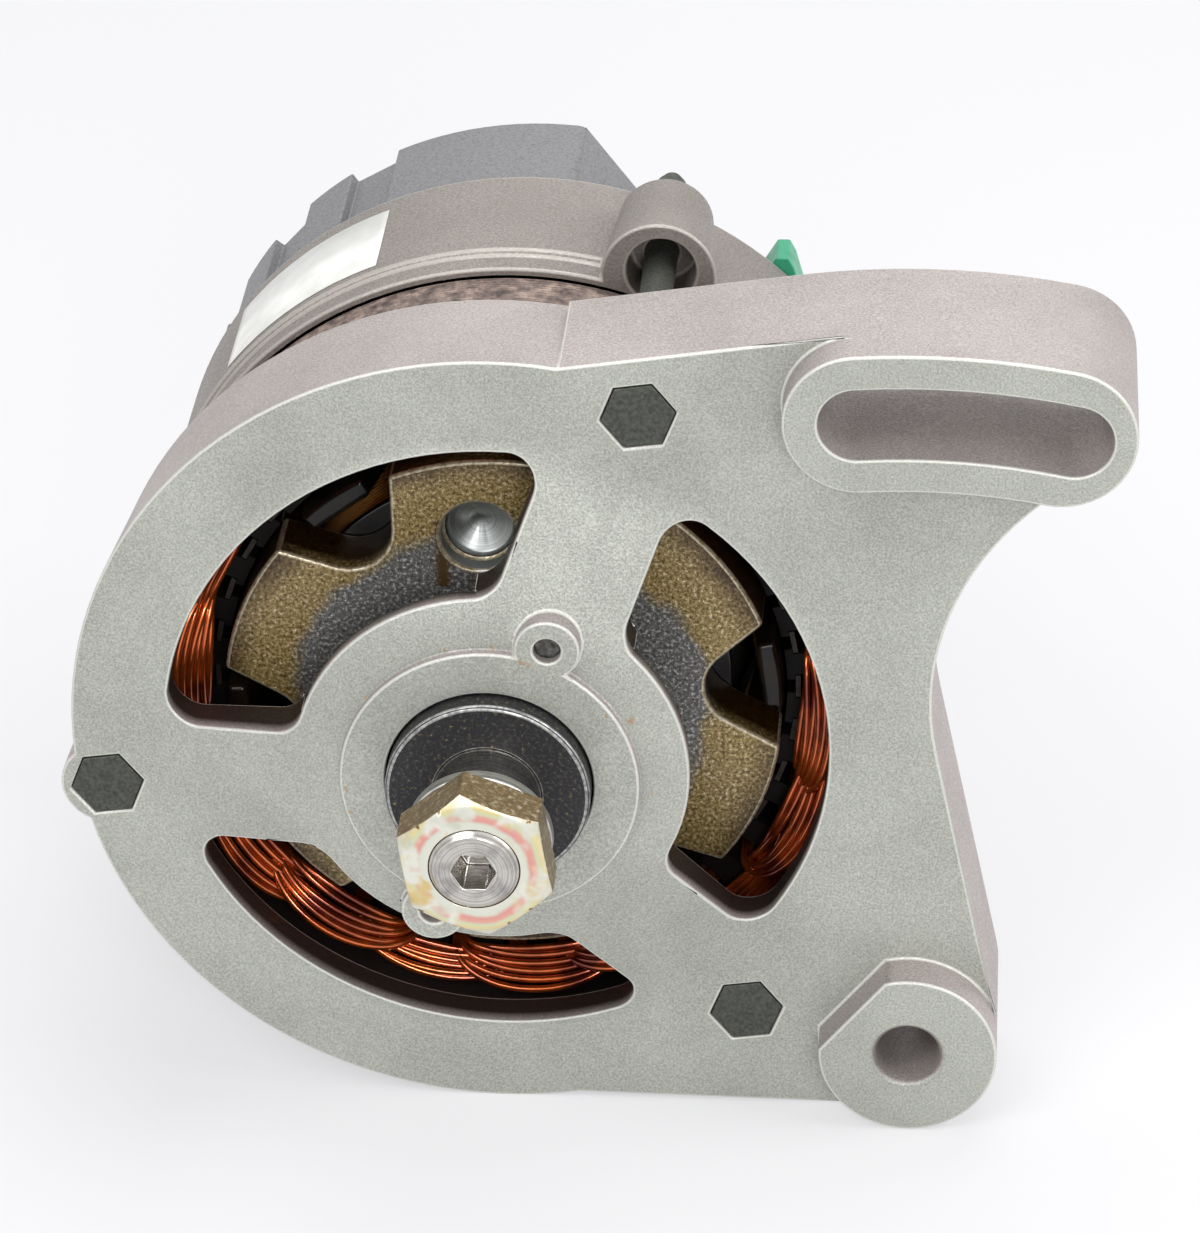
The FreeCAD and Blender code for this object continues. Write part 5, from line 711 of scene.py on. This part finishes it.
def make_rear_gear(sizes, colours):
    # Stamped sheet: silver-grey, faintly streaked.
    dress(["positive_heat_sink", "negative_heat_sink"],
          grained("aluminium_stamped", "#BFC0C2", "#9B9C9F", 1.4, 1.0, 0.38), 0.3)
    # Nickel over copper: warm grey and fairly bright.
    dress(["rectifier_diodes"], grained("copper_nickel_plated", "#B5AFA6", "#8B857C", 1.0, 1.0, 0.3), 0.35)
    # Glass fibre in the nylon leaves a dry, slightly mottled black.
    dress(["rectifier_insulators", "terminal_block", "brush_holder"],
          grained("nylon_glass_filled_black", "#262627", "#161617", 0.9, 0.0, 0.5), 0.3)
    # Unfilled nylon, coloured through: an even green with a soft gloss.
    dress(["stud_insulator"],
          grained("nylon_green_moulded", colours.green_cap, "#1F7F5C", 2.5, 0.0, 0.35, tones=(0.2, 0.5)), 0.3)
    # Tin over brass: pale yellow-grey.
    dress(["excitation_terminal"], grained("brass_tinned", "#CFC6AC", "#A89F86", 1.5, 1.0, 0.3), 0.1)
    # Pressed carbon: charcoal, with a fine dry grain.
    dress(["front_brush", "rear_brush"],
          grained("carbon_pressed", "#2C2C2D", "#161617", 0.5, 0.1, 0.55), 0.15)
    # Hard-drawn wire: grey and bright along its length.
    drawn = grained("spring_wire_drawn", "#A5A6A8", "#77787A", 0.6, 1.0, 0.28)
    for side in ("front", "rear"):
        wind_spring(side, drawn)
    # Pressure die casting: smoother and duller than the blasted castings.
    dress(["voltage_regulator"], grained("aluminium_die_cast", "#A9AAAC", "#85868A", 0.8, 0.9, 0.45), 0.15)
    # Moulded polyamide: grey, dusty, with the mould's fine spark-eroded texture.
    dress(["rear_cover"], grained("polyamide_grey_moulded", colours.cover, "#646467", 0.5, 0.0, 0.5,
                                  tones=(0.3, 0.55)), 0.3, angle=60)


def make_rear_marks(sizes, colours):
    """The bare sticker on the rear casting and the sealing rings at the through bolts' ends."""
    # Coated paper: an even white with a slight gloss.
    paper = grained("label_paper_coated", "#EDEDEA", "#DCDCD8", 5.0, 0.0, 0.35, bump_mm=0.02)
    points, faces = [], []
    lathe([(LABEL_RADIUS, edge) for edge in LABEL_EDGES], 24, points, faces, LABEL_START, LABEL_SWEEP)
    label = new_piece("blank_label", points, faces, paper, "housing")
    thick = label.modifiers.new("paper", "SOLIDIFY")
    thick.thickness = LABEL_THICK * MM
    # Moulded silicone rubber: orange and half matt.
    seal = grained("rubber_orange", "#E08A5A", "#C46A3C", 1.0, 0.0, 0.5)
    points, faces = [], []
    for number in range(3):
        centre = around(BOLT_CIRCLE, BOLT_ANGLE + 120 * number, REAR_FRONT + SEAL_DEPTH)
        rings = []
        for a in circle(24):
            ring = []
            for b in circle(8):
                r = SEAL_RADIUS + SEAL_THICK * math.cos(b)
                ring.append(centre + Vector((r * math.cos(a), SEAL_THICK * math.sin(b), r * math.sin(a))))
            rings.append(ring)
        sleeve(rings, points, faces)
    ring = new_piece("bolt_seal_rings", points, faces, seal, "housing")


def background_seen(node):
    """One for what the camera sees straight, in a reflection or through glass, and zero for other light."""
    rays = node("ShaderNodeLightPath")
    seen = node("ShaderNodeMath", {0: rays.outputs["Is Camera Ray"], 1: rays.outputs["Is Glossy Ray"]},
                operation="MAXIMUM")
    return node("ShaderNodeMath", {0: seen, 1: rays.outputs["Is Transmission Ray"]}, operation="MAXIMUM")


def link_to_scene(name, data):
    """A new object of the stage for a lamp, camera or mesh."""
    item = bpy.data.objects.new(name, data)
    bpy.context.scene.collection.objects.link(item)
    return item


def make_stage(sizes, colours):
    low = CAD_BOX[0].z
    corners = ((-1, -1), (1, -1), (1, 1), (-1, 1))
    mesh = bpy.data.meshes.new("floor")
    mesh.from_pydata([(x * FLOOR_HALF, y * FLOOR_HALF, low) for x, y in corners], [], [(0, 1, 2, 3)])
    link_to_scene("floor", mesh)
    # A paper sweep: matt white that keeps the object's shadow and shows as a pale background.
    material = bpy.data.materials.new("paper_white_sweep")
    material.use_nodes = True
    material.node_tree.nodes.clear()
    node = partial(add, material.node_tree)
    share = node("ShaderNodeMath", {0: background_seen(node), 1: 0.6}, operation="MULTIPLY")
    paper = node("ShaderNodeBsdfDiffuse", {"Color": linear("#E9E9EB")})
    white = node("ShaderNodeEmission", {"Color": linear("#F2F2F4"), "Strength": 1.0})
    sweep = node("ShaderNodeMixShader", {0: share, 1: paper, 2: white})
    node("ShaderNodeOutputMaterial", {"Surface": sweep})
    mesh.materials.append(material)

    world = bpy.data.worlds.new("studio")
    bpy.context.scene.world = world
    world.use_nodes = True
    node = partial(add, world.node_tree)
    light = node("ShaderNodeMapRange", {"Value": background_seen(node), "To Min": sizes.room_light,
                                        "To Max": 1.0})
    join(world.node_tree.nodes["Background"], {"Color": (1, 1, 1, 1), "Strength": light})

    for name, place, width, power in LAMPS:
        lamp = bpy.data.lights.new(name, "AREA")
        lamp.size = width
        lamp.energy = power
        lamp_object = link_to_scene(name, lamp)
        lamp_object.location = place
        lamp_object.rotation_euler = (LIT_POINT - Vector(place)).to_track_quat("-Z", "Y").to_euler()

    camera = bpy.data.cameras.new("camera")
    camera.sensor_width = 36.0
    camera.lens = CAMERA_LENS
    camera.clip_start = 0.01
    camera_object = link_to_scene("camera", camera)
    turn = Matrix((CAMERA_RIGHT, -CAMERA_DOWN, -CAMERA_AHEAD)).transposed().to_4x4()
    camera_object.matrix_world = Matrix.Translation(CAMERA_PLACE * MM) @ turn
    bpy.context.scene.camera = camera_object
    bpy.context.scene.view_settings.view_transform = "Standard"


class AlternatorSizes(bpy.types.PropertyGroup):
    cast_edge: bpy.props.FloatProperty(
        name="Casting edge", description="Radius of the casting's rounded edges", default=0.4 * MM,
        unit="LENGTH")
    stator_wire: bpy.props.FloatProperty(
        name="Stator wire", description="Diameter of the stator's wire", default=1.25 * MM, unit="LENGTH")
    coil_inner: bpy.props.FloatProperty(
        name="Coil crown", description="Distance of the innermost arch of wire from the shaft",
        default=47.5 * MM, unit="LENGTH")
    coil_height: bpy.props.FloatProperty(
        name="Coil height", description="How far the end turns stand out of the stack", default=9.0 * MM,
        unit="LENGTH")
    field_wire: bpy.props.FloatProperty(
        name="Field wire", description="Diameter of the rotor's wire", default=1.2 * MM, unit="LENGTH")
    room_light: bpy.props.FloatProperty(
        name="Room light", description="Strength of the even light from all sides", default=0.42,
        subtype="FACTOR")


def colour(name, description, code):
    return bpy.props.FloatVectorProperty(name=name, description=description, default=linear(code), size=4,
                                         subtype="COLOR", min=0.0, max=1.0)


class AlternatorColours(bpy.types.PropertyGroup):
    front_face: colour("Front face", "Blasted face of the drive end casting", "#A9ABA3")
    front_side: colour("Front sides", "Drafted sides of the drive end casting", "#A8A09D")
    rear_casting: colour("Rear casting", "Rear casting", "#8A837E")
    stator_wire: colour("Stator wire", "Red-enamelled copper", "#E06C2C")
    field_wire: colour("Field wire", "Fine enamelled copper", "#FFB061")
    green_cap: colour("Terminal insulator", "Moulded insulator", "#2F9A72")
    cover: colour("Rear cover", "Moulded cover", "#7B7B7E")


def settings_of(context):
    return context.scene.alternator_sizes, context.scene.alternator_colours


class ALTERNATOR_OT_castings(bpy.types.Operator):
    """Finish and round the two castings"""

    bl_idname = "alternator.castings"
    bl_label = "Castings"

    def execute(self, context):
        make_castings(*settings_of(context))
        return {"FINISHED"}


class ALTERNATOR_OT_stator(bpy.types.Operator):
    """Finish the stack and wind its loops of wire"""

    bl_idname = "alternator.stator"
    bl_label = "Stator"

    def execute(self, context):
        make_stator(*settings_of(context))
        return {"FINISHED"}


class ALTERNATOR_OT_rotor(bpy.types.Operator):
    """Finish the poles and wind the field coil"""

    bl_idname = "alternator.rotor"
    bl_label = "Rotor"

    def execute(self, context):
        make_rotor(*settings_of(context))
        return {"FINISHED"}


class ALTERNATOR_OT_nose(bpy.types.Operator):
    """Finish the shaft, spacer, washer and nut"""

    bl_idname = "alternator.nose"
    bl_label = "Shaft nose"

    def execute(self, context):
        make_nose(*settings_of(context))
        return {"FINISHED"}


class ALTERNATOR_OT_fasteners(bpy.types.Operator):
    """Finish the bolts, screws, studs and nuts"""

    bl_idname = "alternator.fasteners"
    bl_label = "Fasteners"

    def execute(self, context):
        make_fasteners(*settings_of(context))
        return {"FINISHED"}


class ALTERNATOR_OT_bearings(bpy.types.Operator):
    """Finish both ball bearings and their keepers"""

    bl_idname = "alternator.bearings"
    bl_label = "Bearings"

    def execute(self, context):
        make_bearings(*settings_of(context))
        return {"FINISHED"}


class ALTERNATOR_OT_rear_gear(bpy.types.Operator):
    """Finish the rectifier, brush gear and cover"""

    bl_idname = "alternator.rear_gear"
    bl_label = "Rear gear"

    def execute(self, context):
        make_rear_gear(*settings_of(context))
        return {"FINISHED"}


class ALTERNATOR_OT_rear_marks(bpy.types.Operator):
    """Add the blank label and the bolt seals"""

    bl_idname = "alternator.rear_marks"
    bl_label = "Label and seals"

    def execute(self, context):
        make_rear_marks(*settings_of(context))
        return {"FINISHED"}


class ALTERNATOR_OT_stage(bpy.types.Operator):
    """Set up the floor, lights and camera"""

    bl_idname = "alternator.stage"
    bl_label = "Stage"

    def execute(self, context):
        make_stage(*settings_of(context))
        return {"FINISHED"}


STEPS = [ALTERNATOR_OT_castings, ALTERNATOR_OT_stator, ALTERNATOR_OT_rotor, ALTERNATOR_OT_nose,
         ALTERNATOR_OT_fasteners, ALTERNATOR_OT_bearings, ALTERNATOR_OT_rear_gear, ALTERNATOR_OT_rear_marks,
         ALTERNATOR_OT_stage]


class ALTERNATOR_PT_panel(bpy.types.Panel):
    """Lists the alternator's steps and settings."""

    bl_label = "Alternator"
    bl_idname = "ALTERNATOR_PT_panel"
    bl_space_type = "VIEW_3D"
    bl_region_type = "UI"
    bl_category = "Alternator"

    def draw(self, context):
        for group in (context.scene.alternator_sizes, context.scene.alternator_colours):
            for name in group.__annotations__:
                self.layout.prop(group, name)
        for step in STEPS:
            self.layout.operator(step.bl_idname)


CLASSES = [AlternatorSizes, AlternatorColours, *STEPS, ALTERNATOR_PT_panel]


def register():
    for item in CLASSES:
        bpy.utils.register_class(item)
    bpy.types.Scene.alternator_sizes = bpy.props.PointerProperty(type=AlternatorSizes)
    bpy.types.Scene.alternator_colours = bpy.props.PointerProperty(type=AlternatorColours)


def unregister():
    del bpy.types.Scene.alternator_colours
    del bpy.types.Scene.alternator_sizes
    for item in reversed(CLASSES):
        bpy.utils.unregister_class(item)


def main():
    register()
    for step in STEPS:
        getattr(bpy.ops.alternator, step.bl_idname.split(".")[1])()


if __name__ == "__main__":
    main()
